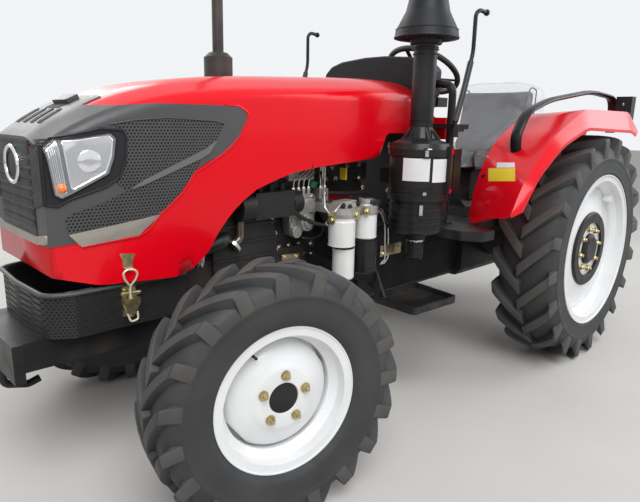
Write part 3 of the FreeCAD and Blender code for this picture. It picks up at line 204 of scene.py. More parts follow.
RED = surface("red_paint", (0.74, 0.001, 0.010), 0.24, coat=0.20, vary=0.04, vary_scale=3.0, rough_vary=0.03,
              bump=0.03, bump_scale=60.0, shine=0.22)
WHITE = surface("white_paint", (0.80, 0.81, 0.82), 0.32, coat=0.3, vary=0.03, vary_scale=9.0, bump=0.05, bump_scale=120.0,
                dust=0.10)
BLACK = surface("black_paint", (0.012, 0.012, 0.013), 0.34, coat=0.05, vary=0.25, vary_scale=8.0, rough_vary=0.08,
                bump=0.08, bump_scale=160.0, dust=0.10, dust_colour=(0.10, 0.09, 0.075), shine=0.25)
CAST = surface("cast_black", (0.016, 0.016, 0.017), 0.42, vary=0.25, vary_scale=12.0, rough_vary=0.10, bump=0.5,
               bump_scale=260.0, dust=0.16, dust_colour=(0.10, 0.09, 0.075), shine=0.22)
FRAME_BLACK = surface("frame_black", (0.014, 0.014, 0.015), 0.40, vary=0.25, vary_scale=8.0, rough_vary=0.08, bump=0.15,
                      bump_scale=180.0, dust=0.30, dust_colour=(0.13, 0.11, 0.09), shine=0.25)
PLASTIC = surface("black_plastic", (0.013, 0.014, 0.016), 0.44, vary=0.12, vary_scale=10.0, bump=0.35, bump_scale=900.0,
                  shine=0.25)
GREY_PLASTIC = surface("grey_plastic", (0.062, 0.062, 0.065), 0.42, vary=0.08, vary_scale=8.0, bump=0.25,
                       bump_scale=900.0)
NOSE_BLACK = surface("nose_black", (0.018, 0.018, 0.020), 0.36, vary=0.12, vary_scale=10.0, bump=0.2, bump_scale=900.0,
                     shine=0.25)
PALE_TRIM = surface("pale_trim", (0.36, 0.33, 0.29), 0.40, metal=0.3, vary=0.06, bump=0.2, bump_scale=700.0)
RUBBER = surface("tyre_rubber", (0.030, 0.031, 0.033), 0.62, vary=0.18, vary_scale=6.0, rough_vary=0.10, bump=0.35,
                 bump_scale=240.0, dust=0.20, dust_colour=(0.085, 0.080, 0.072))
TREAD = surface("tread_rubber", (0.062, 0.060, 0.057), 0.75, vary=0.18, vary_scale=9.0, bump=0.4, bump_scale=220.0,
                dust=0.45, dust_colour=(0.125, 0.115, 0.10))
HOSE = surface("hose_rubber", (0.014, 0.014, 0.015), 0.45, vary=0.15, bump=0.25, bump_scale=500.0)
ZINC = surface("yellow_zinc", (0.52, 0.44, 0.24), 0.34, metal=0.9, vary=0.22, vary_scale=60.0, rough_vary=0.10)
STEEL = surface("bright_steel", (0.52, 0.51, 0.49), 0.30, metal=1.0, vary=0.12, vary_scale=40.0, rough_vary=0.10)
CHROME = surface("chrome", (0.78, 0.78, 0.80), 0.08, metal=1.0, vary=0.04, rough_vary=0.03, bump=0.02)
ALUMINIUM = surface("cast_aluminium", (0.42, 0.41, 0.39), 0.50, metal=0.75, vary=0.18, vary_scale=40.0, bump=0.6,
                    bump_scale=350.0, dust=0.15)
FILTER_WHITE = surface("filter_white", (0.78, 0.78, 0.77), 0.36, coat=0.3, vary=0.04, bump=0.05)
LABEL_WHITE = surface("label_white", (0.74, 0.74, 0.75), 0.40, vary=0.05, bump=0.04)
LABEL_YELLOW = surface("label_yellow", (0.85, 0.62, 0.03), 0.42, vary=0.05, bump=0.04)
TAIL_RED = surface("tail_lens", (0.45, 0.01, 0.01), 0.16, coat=0.6, vary=0.08, bump=0.1)
LENS_WHITE = surface("clear_lens", (0.70, 0.70, 0.72), 0.16, coat=0.6, vary=0.05, bump=0.1)
AMBER = surface("amber_lens", (0.90, 0.20, 0.02), 0.18, coat=0.6, vary=0.10, bump=0.1)
BOTTLE_WHITE = surface("bottle_plastic", (0.55, 0.55, 0.50), 0.40, vary=0.08, bump=0.1)
PIPE_BROWN = surface("pipe_steel", (0.16, 0.13, 0.105), 0.32, metal=0.8, vary=0.12, vary_scale=20.0, bump=0.1)
GREEN = surface("green_cap", (0.01, 0.16, 0.07), 0.35, coat=0.3, vary=0.05)
LABEL_CREAM = surface("cream_wire", (0.72, 0.66, 0.50), 0.36, metal=0.3, vary=0.06, bump=0.05)
RIDGE_GREY = surface("ridge_plastic", (0.135, 0.132, 0.128), 0.42, vary=0.06, vary_scale=8.0, bump=0.25, bump_scale=900.0)
CELL_GREY = surface("cell_reflector", (0.30, 0.30, 0.31), 0.22, metal=0.9, vary=0.10, bump=0.05)
# Near-black: the dial faces' own black, and painted shade in the nose-top slots and in the scoop's opening
DIAL_BLACK_AND_PAINTED_SHADE = surface("dial_black_and_painted_shade", (0.004, 0.004, 0.004), 0.70, vary=0.05, bump=0.0)
TAIL_RED = surface("tail_red", (0.55, 0.01, 0.01), 0.18, coat=0.6, vary=0.10, bump=0.1)
VINYL = surface("seat_vinyl", (0.020, 0.020, 0.022), 0.48, vary=0.15, vary_scale=12.0, bump=0.5, bump_scale=420.0)
GRIP = surface("wheel_rubber", (0.016, 0.016, 0.017), 0.50, vary=0.15, bump=0.3, bump_scale=500.0)
EXHAUST = surface("exhaust_paint", (0.020, 0.019, 0.018), 0.55, vary=0.25, bump=0.3, bump_scale=250.0, dust=0.12)
PERFORATED = perforated("perforated_plastic", (0.060, 0.060, 0.062), 0.0064, 0.0105, "X", "Z")
SKIRT_MESH = perforated("skirt_mesh", (0.014, 0.014, 0.015), 0.0070, 0.0105, "X", "Z", rough=0.40)
SKIRT_MESH_FRONT = perforated("skirt_mesh_front", (0.014, 0.014, 0.015), 0.0070, 0.0105, "Y", "Z", rough=0.40)
LENS = clear("lamp_glass", (0.90, 0.93, 0.96), 0.04, 0.10)
FILM = clear("clear_film", (0.82, 0.86, 0.90), 0.12, 0.17, bump=0.9, bump_scale=26.0)


# Shapes: each returns a bmesh in metres, made from millimetres

def rounded(corners, radius, steps=5):
    """A closed outline of (u, v) or (u, v, radius) corners with its corners turned round."""
    points = []
    count = len(corners)
    for number in range(count):
        corner = Vector(corners[number][:2])
        turn = corners[number][2] if len(corners[number]) > 2 else radius
        before = (Vector(corners[number - 1][:2]) - corner)
        after = (Vector(corners[(number + 1) % count][:2]) - corner)
        if turn <= 0:
            points.append(corner)
            continue
        angle = before.angle(after)
        reach = turn / math.tan(angle / 2)
        reach = min(reach, 0.48 * before.length, 0.48 * after.length)
        start = corner + before.normalized() * reach
        end = corner + after.normalized() * reach
        for step in range(steps + 1):
            share = step / steps
            points.append(start.lerp(corner, share).lerp(corner.lerp(end, share), share))
    return points


def bevelled(part, width, segments=2, angle=30):
    if width <= 0:
        return part
    edges = [edge for edge in part.edges if len(edge.link_faces) == 2 and edge.calc_face_angle(0) > math.radians(angle)]
    bmesh.ops.bevel(part, geom=edges, offset=width / 1000, segments=segments, profile=0.5, affect="EDGES",
                    clamp_overlap=True)
    return part


def block(x, y, z, bevel=2.0):
    part = bmesh.new()
    corners = [part.verts.new(spot(a, b, c)) for a in x for b in y for c in z]
    for face in ((0, 1, 3, 2), (4, 6, 7, 5), (0, 4, 5, 1), (2, 3, 7, 6), (0, 2, 6, 4), (1, 5, 7, 3)):
        part.faces.new([corners[index] for index in face])
    return bevelled(part, bevel)


def plate(corners, plane, low, high, radius=0, bevel=1.0):
    """An outline pushed from low to high across its plane: "xz" along y, "yz" along x, "xy" along z."""
    outline = rounded(corners, radius)
    part = bmesh.new()

    def corner(u, v, w):
        if plane == "xz":
            return spot(u, w, v)
        if plane == "yz":
            return spot(w, u, v)
        return spot(u, v, w)

    lower = [part.verts.new(corner(u, v, low)) for u, v in outline]
    upper = [part.verts.new(corner(u, v, high)) for u, v in outline]
    part.faces.new(lower)
    part.faces.new(list(reversed(upper)))
    count = len(outline)
    for number in range(count):
        after = (number + 1) % count
        part.faces.new((lower[after], lower[number], upper[number], upper[after]))
    bmesh.ops.recalc_face_normals(part, faces=part.faces)
    return bevelled(part, bevel, segments=1, angle=50)


def axes_round(axis):
    forward = Vector(axis).normalized()
    helper = Vector((0, 0, 1)) if abs(forward.z) < 0.9 else Vector((1, 0, 0))
    side = forward.cross(helper).normalized()
    return forward, side, forward.cross(side).normalized()


def turned(centre, axis, profile, segments=48, start=0.0):
    """A profile of (radius, height) turned round an axis; heights run along it from the centre."""
    forward, side, other = axes_round(axis)
    base = spot(*centre)
    part = bmesh.new()
    rings = []
    for radius, height in profile:
        middle = base + forward * (height / 1000)
        if radius <= 0:
            rings.append([part.verts.new(middle)])
            continue
        ring = []
        for step in range(segments):
            angle = start + 2 * math.pi * step / segments
            ring.append(part.verts.new(middle + (side * math.cos(angle) + other * math.sin(angle)) * radius / 1000))
        rings.append(ring)
    for first, second in zip(rings, rings[1:]):
        for step in range(segments):
            after = (step + 1) % segments
            if len(first) == 1 and len(second) > 1:
                part.faces.new((first[0], second[step], second[after]))
            elif len(second) == 1 and len(first) > 1:
                part.faces.new((first[step], second[0], first[after]))
            elif len(first) > 1:
                part.faces.new((first[step], second[step], second[after], first[after]))
    bmesh.ops.recalc_face_normals(part, faces=part.faces)
    return part


def rod(start, end, radius, segments=16, chamfer=1.0):
    length = (Vector(end) - Vector(start)).length
    chamfer = min(chamfer, radius * 0.4, length * 0.3)
    return turned(start, Vector(end) - Vector(start), [(0, 0), (radius - chamfer, 0), (radius, chamfer),
                                                       (radius, length - chamfer), (radius - chamfer, length), (0, length)],
                  segments)


def bent_path(points, bend, steps=6):
    """The points in metres with each corner turned into an arc-like run."""
    corners = [spot(*point) for point in points]
    path = [corners[0]]
    for before, corner, after in zip(corners, corners[1:], corners[2:]):
        back = (before - corner)
        ahead = (after - corner)
        reach = min(bend / 1000, 0.45 * back.length, 0.45 * ahead.length)
        start = corner + back.normalized() * reach
        end = corner + ahead.normalized() * reach
        for step in range(steps + 1):
            share = step / steps
            path.append(start.lerp(corner, share).lerp(corner.lerp(end, share), share))
    path.append(corners[-1])
    return path


def pipe(points, radius, bend=40, segments=12, steps=6, flat=1.0):
    """A round bar or tube along bent points; flat under 1 makes it a strap."""
    return swept(bent_path(points, bend, steps), radius, segments, flat)


def swept(path, radius, segments=12, flat=1.0):
    """A round bar along a path in metres, radius in millimetres."""
    part = bmesh.new()
    rings = []
    forward = (path[1] - path[0]).normalized()
    helper = Vector((0, 0, 1)) if abs(forward.z) < 0.9 else Vector((1, 0, 0))
    side = forward.cross(helper).normalized()
    for number, point in enumerate(path):
        ahead = path[min(number + 1, len(path) - 1)] - path[max(number - 1, 0)]
        forward = ahead.normalized()
        side = (side - forward * side.dot(forward)).normalized()
        other = forward.cross(side).normalized()
        ring = []
        for step in range(segments):
            angle = 2 * math.pi * step / segments
            ring.append(part.verts.new(point + (side * math.cos(angle) + other * math.sin(angle) * flat) * radius / 1000))
        rings.append(ring)
    for first, second in zip(rings, rings[1:]):
        for step in range(segments):
            after = (step + 1) % segments
            part.faces.new((first[step], first[after], second[after], second[step]))
    part.faces.new(list(reversed(rings[0])))
    part.faces.new(rings[-1])
    bmesh.ops.recalc_face_normals(part, faces=part.faces)
    return part


def bolt(centre, axis, size, head=None, washer=True):
    """Hexagon head, size across its flats, on a washer."""
    head = head or size * 0.65
    across = size / math.sqrt(3)
    part = turned(centre, axis, [(0, 0), (across, 0), (across, head * 0.85), (across * 0.85, head), (0, head)], 6)
    if washer:
        merge(part, turned(centre, axis, [(0, -1), (size * 0.85, -1), (size * 0.85, 1.5), (0, 1.5)], 20))
    return part


def merge(part, other):
    data = bpy.data.meshes.new("part")
    other.to_mesh(data)
    other.free()
    part.from_mesh(data)
    bpy.data.meshes.remove(data)
    return part


def mirrored(part):
    """A copy on the other side of the middle plane."""
    copy = part.copy()
    for vert in copy.verts:
        vert.co.y = -vert.co.y
    bmesh.ops.reverse_faces(copy, faces=copy.faces)
    return copy


def moved(part, matrix):
    bmesh.ops.transform(part, matrix=matrix, verts=part.verts)
    return part


class Group:
    """Shapes of one body that become one object, each with its own material."""

    def __init__(self, name, body, slot, *stands_for):
        self.name = name
        self.body = body
        self.slot = slot
        self.stands_for = stands_for
        self.shape = bmesh.new()
        self.materials = []

    def add(self, part, material, both_sides=False):
        if both_sides:
            self.add(mirrored(part), material)
        if material not in self.materials:
            self.materials.append(material)
        index = self.materials.index(material)
        for face in part.faces:
            face.material_index = index
            face.smooth = True
        merge(self.shape, part)

    def add_parted(self, part, materials):
        """A shape whose faces already carry indices into the given materials."""
        for material in materials:
            if material not in self.materials:
                self.materials.append(material)
        places = [self.materials.index(material) for material in materials]
        for face in part.faces:
            face.material_index = places[face.material_index]
            face.smooth = True
        merge(self.shape, part)

    def close(self, sharp=38):
        data = bpy.data.meshes.new(self.name)
        self.shape.to_mesh(data)
        self.shape.free()
        for material in self.materials:
            data.materials.append(material)
        data.set_sharp_from_angle(angle=math.radians(sharp))
        made = bpy.data.objects.new(self.name, data)
        bpy.context.scene.collection.objects.link(made)
        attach(made, self.body)
        if self.stands_for:
            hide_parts(*self.stands_for)
        return made


def recoat(node, material, chosen):
    """Give another material to the faces of a CAD node whose middle, in millimetres from the rear axle, is chosen."""
    body = NODES[node]
    data = body.data
    data.materials.append(material)
    for face in data.polygons:
        middle = (body.matrix_world @ face.center) * 1000
        if chosen(middle.x - REAR_AXLE, middle.y, middle.z):
            face.material_index = len(data.materials) - 1


def coat_node(node, material, sharp=38):
    """Give a CAD node a finished material and smooth shading."""
    data = NODES[node].data
    data.materials.clear()
    data.materials.append(material)
    for face in data.polygons:
        face.use_smooth = True
        face.material_index = 0
    data.set_sharp_from_angle(angle=math.radians(sharp))


# Camera, light and floor

CAMERA_SPOT = (2967.0, 1823.8, 1184.8)
CAMERA_YAW = math.radians(-134.1)
CAMERA_PITCH = math.radians(13.0)
CAMERA_ROLL = math.radians(1.2)
FOCAL_PIXELS = 566.5
PICTURE_WIDTH = 640


def add_camera():
    ahead = Vector((math.cos(CAMERA_YAW) * math.cos(CAMERA_PITCH), math.sin(CAMERA_YAW) * math.cos(CAMERA_PITCH),
                    -math.sin(CAMERA_PITCH)))
    right = Vector((math.sin(CAMERA_YAW), -math.cos(CAMERA_YAW), 0))
    up = right.cross(ahead)
    turned_right = right * math.cos(CAMERA_ROLL) + up * math.sin(CAMERA_ROLL)
    turned_up = up * math.cos(CAMERA_ROLL) - right * math.sin(CAMERA_ROLL)
    camera = bpy.data.cameras.new("Camera")
    camera.sensor_width = 36
    camera.sensor_fit = "HORIZONTAL"
    camera.lens = 36 * FOCAL_PIXELS / PICTURE_WIDTH
    camera.clip_start = 0.05
    camera.clip_end = 100
    holder = bpy.data.objects.new("Camera", camera)
    bpy.context.scene.collection.objects.link(holder)
    turn = Matrix((turned_right, turned_up, -ahead)).transposed()
    holder.matrix_world = Matrix.Translation(spot(*CAMERA_SPOT)) @ turn.to_4x4()
    bpy.context.scene.camera = holder


def add_lamp(name, place, towards, size, power, colour=(1, 1, 1)):
    lamp = bpy.data.lights.new(name, "AREA")
    lamp.shape = "RECTANGLE"
    lamp.size, lamp.size_y = size
    lamp.energy = power
    lamp.color = colour
    holder = bpy.data.objects.new(name, lamp)
    bpy.context.scene.collection.objects.link(holder)
    holder.location = place
    holder.rotation_mode = "QUATERNION"
    holder.rotation_quaternion = (Vector(towards) - Vector(place)).to_track_quat("-Z", "Y")


def add_world():
    """Soft grey light all round; the camera, gloss and glass see white."""
    world = bpy.data.worlds.new("World")
    bpy.context.scene.world = world
    world.use_nodes = True
    tree = world.node_tree
    background = tree.nodes["Background"]
    paths = tree.nodes.new("ShaderNodeLightPath")
    seen = tree.nodes.new("ShaderNodeMath")
    seen.operation = "MAXIMUM"
    tree.links.new(paths.outputs["Is Camera Ray"], seen.inputs[0])
    tree.links.new(paths.outputs["Is Transmission Ray"], seen.inputs[1])
    seen_or_shiny = tree.nodes.new("ShaderNodeMath")
    seen_or_shiny.operation = "MAXIMUM"
    tree.links.new(seen.outputs["Value"], seen_or_shiny.inputs[0])
    tree.links.new(paths.outputs["Is Glossy Ray"], seen_or_shiny.inputs[1])
    strength = mapped(tree, seen_or_shiny.outputs["Value"], 0.0, 1.0, 0.50, 0.92)
    background.inputs["Color"].default_value = (0.96, 0.98, 1.0, 1.0)
    tree.links.new(strength, background.inputs["Strength"])


def add_floor():
    part = bmesh.new()
    corners = [part.verts.new((x, y, 0)) for x, y in ((-30, -30), (30, -30), (30, 30), (-30, 30))]
    part.faces.new(corners)
    data = bpy.data.meshes.new("Floor")
    part.to_mesh(data)
    part.free()
    data.materials.append(surface("floor_concrete", (0.60, 0.585, 0.56), 0.85, vary=0.05, vary_scale=1.2, bump=0.1,
                                  bump_scale=40.0))
    floor = bpy.data.objects.new("Floor", data)
    bpy.context.scene.collection.objects.link(floor)


add_camera()
add_world()
add_lamp("KeyLamp", (3.0, 4.0, 5.5), (0.3, 0, 0.6), (4.0, 4.0), 330)
add_lamp("FillLamp", (-4.5, 3.0, 3.5), (-0.5, 0, 0.8), (3.5, 3.5), 120, (0.95, 0.97, 1.0))
add_lamp("FarLamp", (1.0, -5.0, 4.0), (0.0, 0, 0.8), (4.0, 3.0), 120, (1.0, 0.99, 0.97))
add_floor()
bpy.context.scene.view_settings.view_transform = "Standard"


# Wheels

FRONT_SIZES = {"radius": 395, "half": 104, "seat": 203, "rim_half": 76, "lug": 24, "count": 19, "thickness": 38,
               "sweep": 150, "shoulder": 380, "lug_end": 318}
REAR_SIZES = {"radius": 570, "half": 142, "seat": 356, "rim_half": 127, "lug": 30, "count": 20, "thickness": 46,
              "sweep": 170, "shoulder": 550, "lug_end": 466}

# Carcass profile of each tyre from the outer bead to the crown's middle: (radius, distance from the wheel's middle)
FRONT_CARCASS = [(204, 72), (212, 79), (224, 80), (230, 84), (233, 89), (238, 90.5), (240, 94), (251, 98), (270, 101),
                 (293, 102), (311, 101.6), (314, 103.4), (320, 103.4), (323, 101.5), (340, 98), (353, 89), (363, 76),
                 (368.6, 55), (370.6, 28), (371, 0)]
REAR_CARCASS = [(357, 122), (366, 129), (379, 130), (386, 134), (390, 139), (395, 140), (398, 139), (411, 140),
                (435, 141), (452, 140), (456, 141.8), (463, 141.8), (467, 139), (490, 134), (508, 124), (523, 108),
                (533, 84), (538, 46), (540, 0)]


def round_y(radius, across, angle):
    """A point of a wheel round its own y axis, in millimetres; angle 0 stands at the top."""
    return Vector((radius * math.sin(angle), across, radius * math.cos(angle)))


def ring_profile(profile, segments):
    """Profile points (radius, across) turned round the y axis; the profile is closed by the caller if needed."""
    part = bmesh.new()
    rings = []
    for radius, across in profile:
        rings.append([part.verts.new(round_y(radius, across, 2 * math.pi * step / segments)) for step in range(segments)])
    for first, second in zip(rings, rings[1:]):
        for step in range(segments):
            after = (step + 1) % segments
            part.faces.new((first[step], first[after], second[after], second[step]))
    return part


def lug(sizes, turn, side):
    """One bar: its top runs out over the shoulder, then its end face goes down the side to the ring."""
    half = sizes["half"]
    radius = sizes["radius"]
    thick = sizes["thickness"]
    sweep = sizes["sweep"]
    shoulder = sizes["shoulder"]
    end = sizes["lug_end"]
    valley = radius - sizes["lug"]
    nose = -0.06 * half
    # Sections along the bar: the crest's distance from the middle and radius, then the foot's
    sections = [(nose, radius - 0.5, nose, valley - 8), (half * 0.20, radius, half * 0.20, valley - 8),
                (half * 0.45, radius, half * 0.45, valley - 9), (half * 0.70, radius - 2, half * 0.68, valley - 14),
                (half * 0.86, radius - 5, half * 0.80, valley - 24), (half * 0.965, radius - 9, half * 0.84, valley - 30),
                (half, shoulder, half * 0.84, shoulder - 34), (half, (shoulder + end) / 2, half * 0.86, (shoulder + end) / 2 - 12),
                (half * 0.99, end, half * 0.88, end - 4)]
    part = bmesh.new()
    rows = []
    for number, (crest_place, crest, foot_place, foot) in enumerate(sections):
        share = (min(crest_place, half) - nose) / (1.05 * half - nose)
        spread = max(0, number - 6) * thick * 0.07
        flare = 7.0 + spread
        lead = sweep * 0.42 + share * (-sweep + thick * 0.1) + spread
        trail = sweep * 0.42 - thick * 1.25 + share * (-sweep + thick * 0.25) - spread
        row = []
        for along, place, reach in ((lead + flare, foot_place, foot), (lead, crest_place, crest),
                                    (trail, crest_place, crest), (trail - flare, foot_place, foot)):
            row.append(part.verts.new(round_y(reach, place * side, turn + along / radius)))
        rows.append(row)
    for first, second in zip(rows, rows[1:]):
        for step in range(3):
            part.faces.new((first[step], first[step + 1], second[step + 1], second[step]))
    part.faces.new(rows[0])
    part.faces.new(list(reversed(rows[-1])))
    bmesh.ops.recalc_face_normals(part, faces=part.faces)
    edges = [edge for edge in part.edges if edge.calc_face_angle(0) > math.radians(28)]
    bmesh.ops.bevel(part, geom=edges, offset=2.6, segments=2, profile=0.5, affect="EDGES", clamp_overlap=True)
    for face in part.faces:
        centre = face.calc_center_median()
        worn = math.hypot(centre.x, centre.z) > radius - 8 or abs(centre.y) > half - 1.5
        face.material_index = 1 if worn else 0
    return part


def tyre_shape(sizes, profile):
    whole = bmesh.new()
    inner = [(sizes["seat"] + 1, -sizes["rim_half"] + 6), (sizes["seat"] + 1, sizes["rim_half"] - 6)]
    outline = inner + profile + [(radius, -across) for radius, across in reversed(profile[:-1])] + inner[:1]
    merge(whole, ring_profile(outline, 144))
    for side in (1, -1):
        for number in range(sizes["count"]):
            turn = 2 * math.pi / sizes["count"] * (number + (0.5 if side < 0 else 0))
            merge(whole, lug(sizes, turn, side))
    bmesh.ops.recalc_face_normals(whole, faces=whole.faces)
    return whole


FRONT_DISC = [(47, 57), (49, 60), (88, 60), (94, 59), (101, 55.5), (108, 52.5), (118, 49.5), (129, 45.5), (142, 38),
              (156, 28), (166, 15), (171, 6), (173.5, -4)]
FLAT_TURN = math.radians(37.5)
FLAT_DISTANCE = 161


def disc_height(radius):
    for (low, low_height), (high, high_height) in zip(FRONT_DISC, FRONT_DISC[1:]):
        if radius <= high:
            return low_height + (high_height - low_height) * (radius - low) / (high - low)
    return FRONT_DISC[-1][1]


def front_rim_shape():
    """Drop-centre rim with a domed disc, a raised middle, a hub hole and a slot beside each of four flats."""
    whole = bmesh.new()
    barrel = [(226, 84), (227, 81), (226.5, 77), (222, 75.5), (205, 75.5), (203, 73), (202.5, 45), (200, 41), (181, 24),
              (179, 20), (179, -20), (181, -24), (200, -41), (202.5, -45), (203, -73), (205, -75.5), (222, -75.5),
              (226.5, -77), (227, -81), (226, -84), (222, -84), (221, -81), (198, -80), (197, -46), (175, -25),
              (174, 25), (197, 46), (198, 80), (221, 81), (222, 84), (226, 84)]
    merge(whole, ring_profile(barrel, 128))
    segments = 160
    sheet = 7
    rows = [(radius, 0) for radius, height in FRONT_DISC] + [(radius, sheet) for radius, height in reversed(FRONT_DISC)]
    rings = []
    for radius, below in rows:
        ring = []
        for step in range(segments):
            angle = 2 * math.pi * step / segments
            reach = radius
            for flat in range(4):
                facing = math.cos(angle - FLAT_TURN - flat * math.pi / 2)
                if facing > 0.6:
                    limit = FLAT_DISTANCE / facing
                    reach = min(reach, limit - max(0, 173.5 - radius) * 0.12)
            ring.append(whole.verts.new(round_y(reach, disc_height(reach) - below, angle)))
        rings.append(ring)
    rings.append(rings[0])
    for first, second in zip(rings, rings[1:]):
        for step in range(segments):
            after = (step + 1) % segments
            whole.faces.new((first[step], first[after], second[after], second[step]))
    bmesh.ops.recalc_face_normals(whole, faces=whole.faces)
    return whole


def rear_rim_shape():
    """Deep drop-centre rim with a shallow disc set out towards its face, and a bracket on the barrel."""
    whole = bmesh.new()
    barrel = [(381, 139), (382, 136), (381, 129), (376, 126.5), (358, 126.5), (356, 124), (355.5, 95), (352, 91),
              (329, 74), (326, 70), (326, -70), (329, -74), (352, -91), (355.5, -95), (356, -124), (358, -126.5),
              (376, -126.5), (381, -129), (382, -136), (381, -139), (376, -139), (375, -133), (350, -132), (349, -97),
              (322, -76), (320, -70), (320, 70), (322, 76), (349, 97), (350, 132), (375, 133), (376, 139), (381, 139)]
    merge(whole, ring_profile(barrel, 144))
    disc = [(80, 86), (188, 86), (196, 85), (206, 81.5), (232, 74), (262, 65.5), (282, 61), (300, 60), (318, 60),
            (320.5, 57), (318, 52), (300, 52), (282, 52.5), (262, 57), (230, 66), (204, 73.5), (194, 77), (186, 78),
            (80, 78), (80, 86)]
    merge(whole, ring_profile(disc, 144))
    bmesh.ops.recalc_face_normals(whole, faces=whole.faces)
    return whole


def rim_bracket(angle):
    """A welded tab on the rear barrel."""
    part = bmesh.new()
    corners = []
    for across in (64, 104):
        for reach in (296, 321):
            for along in (-24, 24):
                lean = 0.4 if reach < 300 else 1.0
                corners.append(part.verts.new(Vector((along * lean, across if lean == 1.0 else across - 4, reach))))
    for face in ((0, 1, 3, 2), (4, 6, 7, 5), (0, 4, 5, 1), (2, 3, 7, 6), (0, 2, 6, 4), (1, 5, 7, 3)):
        part.faces.new([corners[index] for index in face])
    bmesh.ops.recalc_face_normals(part, faces=part.faces)
    bmesh.ops.bevel(part, geom=list(part.edges), offset=2.5, segments=2, profile=0.5, affect="EDGES", clamp_overlap=True)
    bmesh.ops.rotate(part, cent=(0, 0, 0), matrix=Matrix.Rotation(angle, 3, "Y"), verts=part.verts)
    return part


def standing(part, centre, side, steer):
    """Take a wheel shape from millimetres at the origin to its place; side -1 mirrors it."""
    if side < 0:
        bmesh.ops.transform(part, matrix=Matrix.Scale(-1, 4, Vector((0, 1, 0))), verts=part.verts)
        bmesh.ops.reverse_faces(part, faces=part.faces)
    matrix = Matrix.Translation(spot(*centre)) @ Matrix.Rotation(-steer, 4, "Z") @ Matrix.Scale(0.001, 4)
    bmesh.ops.transform(part, matrix=matrix, verts=part.verts)
    return part


def wheel_nut(radius, height, angle, size, stud):
    """A nut on its stud at a place on a disc, along the y axis."""
    part = bmesh.new()
    across = size / math.sqrt(3)
    for outline, segments in (([(0.1, 0), (size * 0.78, 0), (size * 0.78, 3), (across, 3.1), (0.1, 3.1)], 24),
                              ([(across, 2), (across, size * 0.62), (across * 0.86, size * 0.74), (0.1, size * 0.74)], 6),
                              ([(stud, size * 0.5), (stud, size * 1.05), (stud - 1.5, size * 1.15), (0.1, size * 1.15)], 12)):
        rings = []
        for reach, rise in outline:
            rings.append([part.verts.new(Vector((reach * math.cos(2 * math.pi * step / segments), rise,
                                                 reach * math.sin(2 * math.pi * step / segments))))
                          for step in range(segments)])
        for first, second in zip(rings, rings[1:]):
            for step in range(segments):
                after = (step + 1) % segments
                part.faces.new((first[step], first[after], second[after], second[step]))
    bmesh.ops.recalc_face_normals(part, faces=part.faces)
    bmesh.ops.translate(part, vec=round_y(radius, height, angle), verts=part.verts)
    return part


def valve_stem():
    """A valve stem beside the front disc, with its cap."""
    part = bmesh.new()
    rings = []
    for reach, rise in ((4.5, 20), (4.5, 44), (3.2, 45), (3.2, 52), (4.2, 52.5), (4.2, 62), (3.0, 64), (0.1, 64)):
        rings.append([part.verts.new(Vector((reach * math.cos(math.pi * step / 6), rise, reach * math.sin(math.pi * step / 6))))
                      for step in range(12)])
    for first, second in zip(rings, rings[1:]):
        for step in range(12):
            after = (step + 1) % 12
            part.faces.new((first[step], first[after], second[after], second[step]))
    bmesh.ops.recalc_face_normals(part, faces=part.faces)
    bmesh.ops.translate(part, vec=round_y(168, 0, math.radians(32)), verts=part.verts)
    return part


def add_wheels():
    offset = FRONT_TRACK / 2 - KINGPIN_Y
    for side, hand in ((1, "left"), (-1, "right")):
        front = (WHEEL_BASE + side * offset * math.sin(STEER_REST), side * (KINGPIN_Y + offset * math.cos(STEER_REST)),
                 FRONT_SIZES["radius"])
        rear = (0, side * REAR_TRACK / 2, REAR_SIZES["radius"])
        tyre = Group(f"FrontTyre_{hand}", f"front_wheel_{hand}", "tyre", f"front_tyre_{hand}")
        tyre.add_parted(standing(tyre_shape(FRONT_SIZES, FRONT_CARCASS), front, side, STEER_REST), [RUBBER, TREAD])
        tyre.close(50)
        tyre = Group(f"RearTyre_{hand}", f"rear_wheel_{hand}", "tyre", f"rear_tyre_{hand}")
        tyre.add_parted(standing(tyre_shape(REAR_SIZES, REAR_CARCASS), rear, side, 0), [RUBBER, TREAD])
        tyre.close(50)
        wheel = Group(f"FrontWheel_{hand}", f"front_wheel_{hand}", "white_paint", f"front_rim_{hand}")
        wheel.add(standing(front_rim_shape(), front, side, STEER_REST), WHITE)
        for number in range(5):
            angle = math.radians(-3 + 72 * number)
            wheel.add(standing(wheel_nut(72, 60, angle, 20, 6.5), front, side, STEER_REST), ZINC)
        wheel.add(standing(valve_stem(), front, side, STEER_REST), HOSE)
        wheel.close()
        wheel = Group(f"RearWheel_{hand}", f"rear_wheel_{hand}", "white_paint", f"rear_rim_{hand}")
        wheel.add(standing(rear_rim_shape(), rear, side, 0), WHITE)
        for number in range(8):
            angle = math.radians(10 + 45 * number)
            wheel.add(standing(wheel_nut(105, 86, angle, 22, 8), rear, side, 0), ZINC)
        for angle in (math.radians(-40), math.radians(140)):
            wheel.add(standing(rim_bracket(angle), rear, side, 0), WHITE)
        wheel.close()


add_wheels()


# Thin pieces laid on the CAD's surfaces

LOOKS = {"side": Vector((0, -1, 0)), "front": Vector((-1, 0, 0)), "top": Vector((0, 0, -1))}


def tree_of(*names):
    """The CAD nodes' faces together, to lay thin pieces on."""
    corners = []
    faces = []
    for name in names:
        body = NODES[name]
        first = len(corners)
        corners.extend(body.matrix_world @ vert.co for vert in body.data.vertices)
        faces.extend([first + index for index in face.vertices] for face in body.data.polygons)
    return BVHTree.FromPolygons(corners, faces)


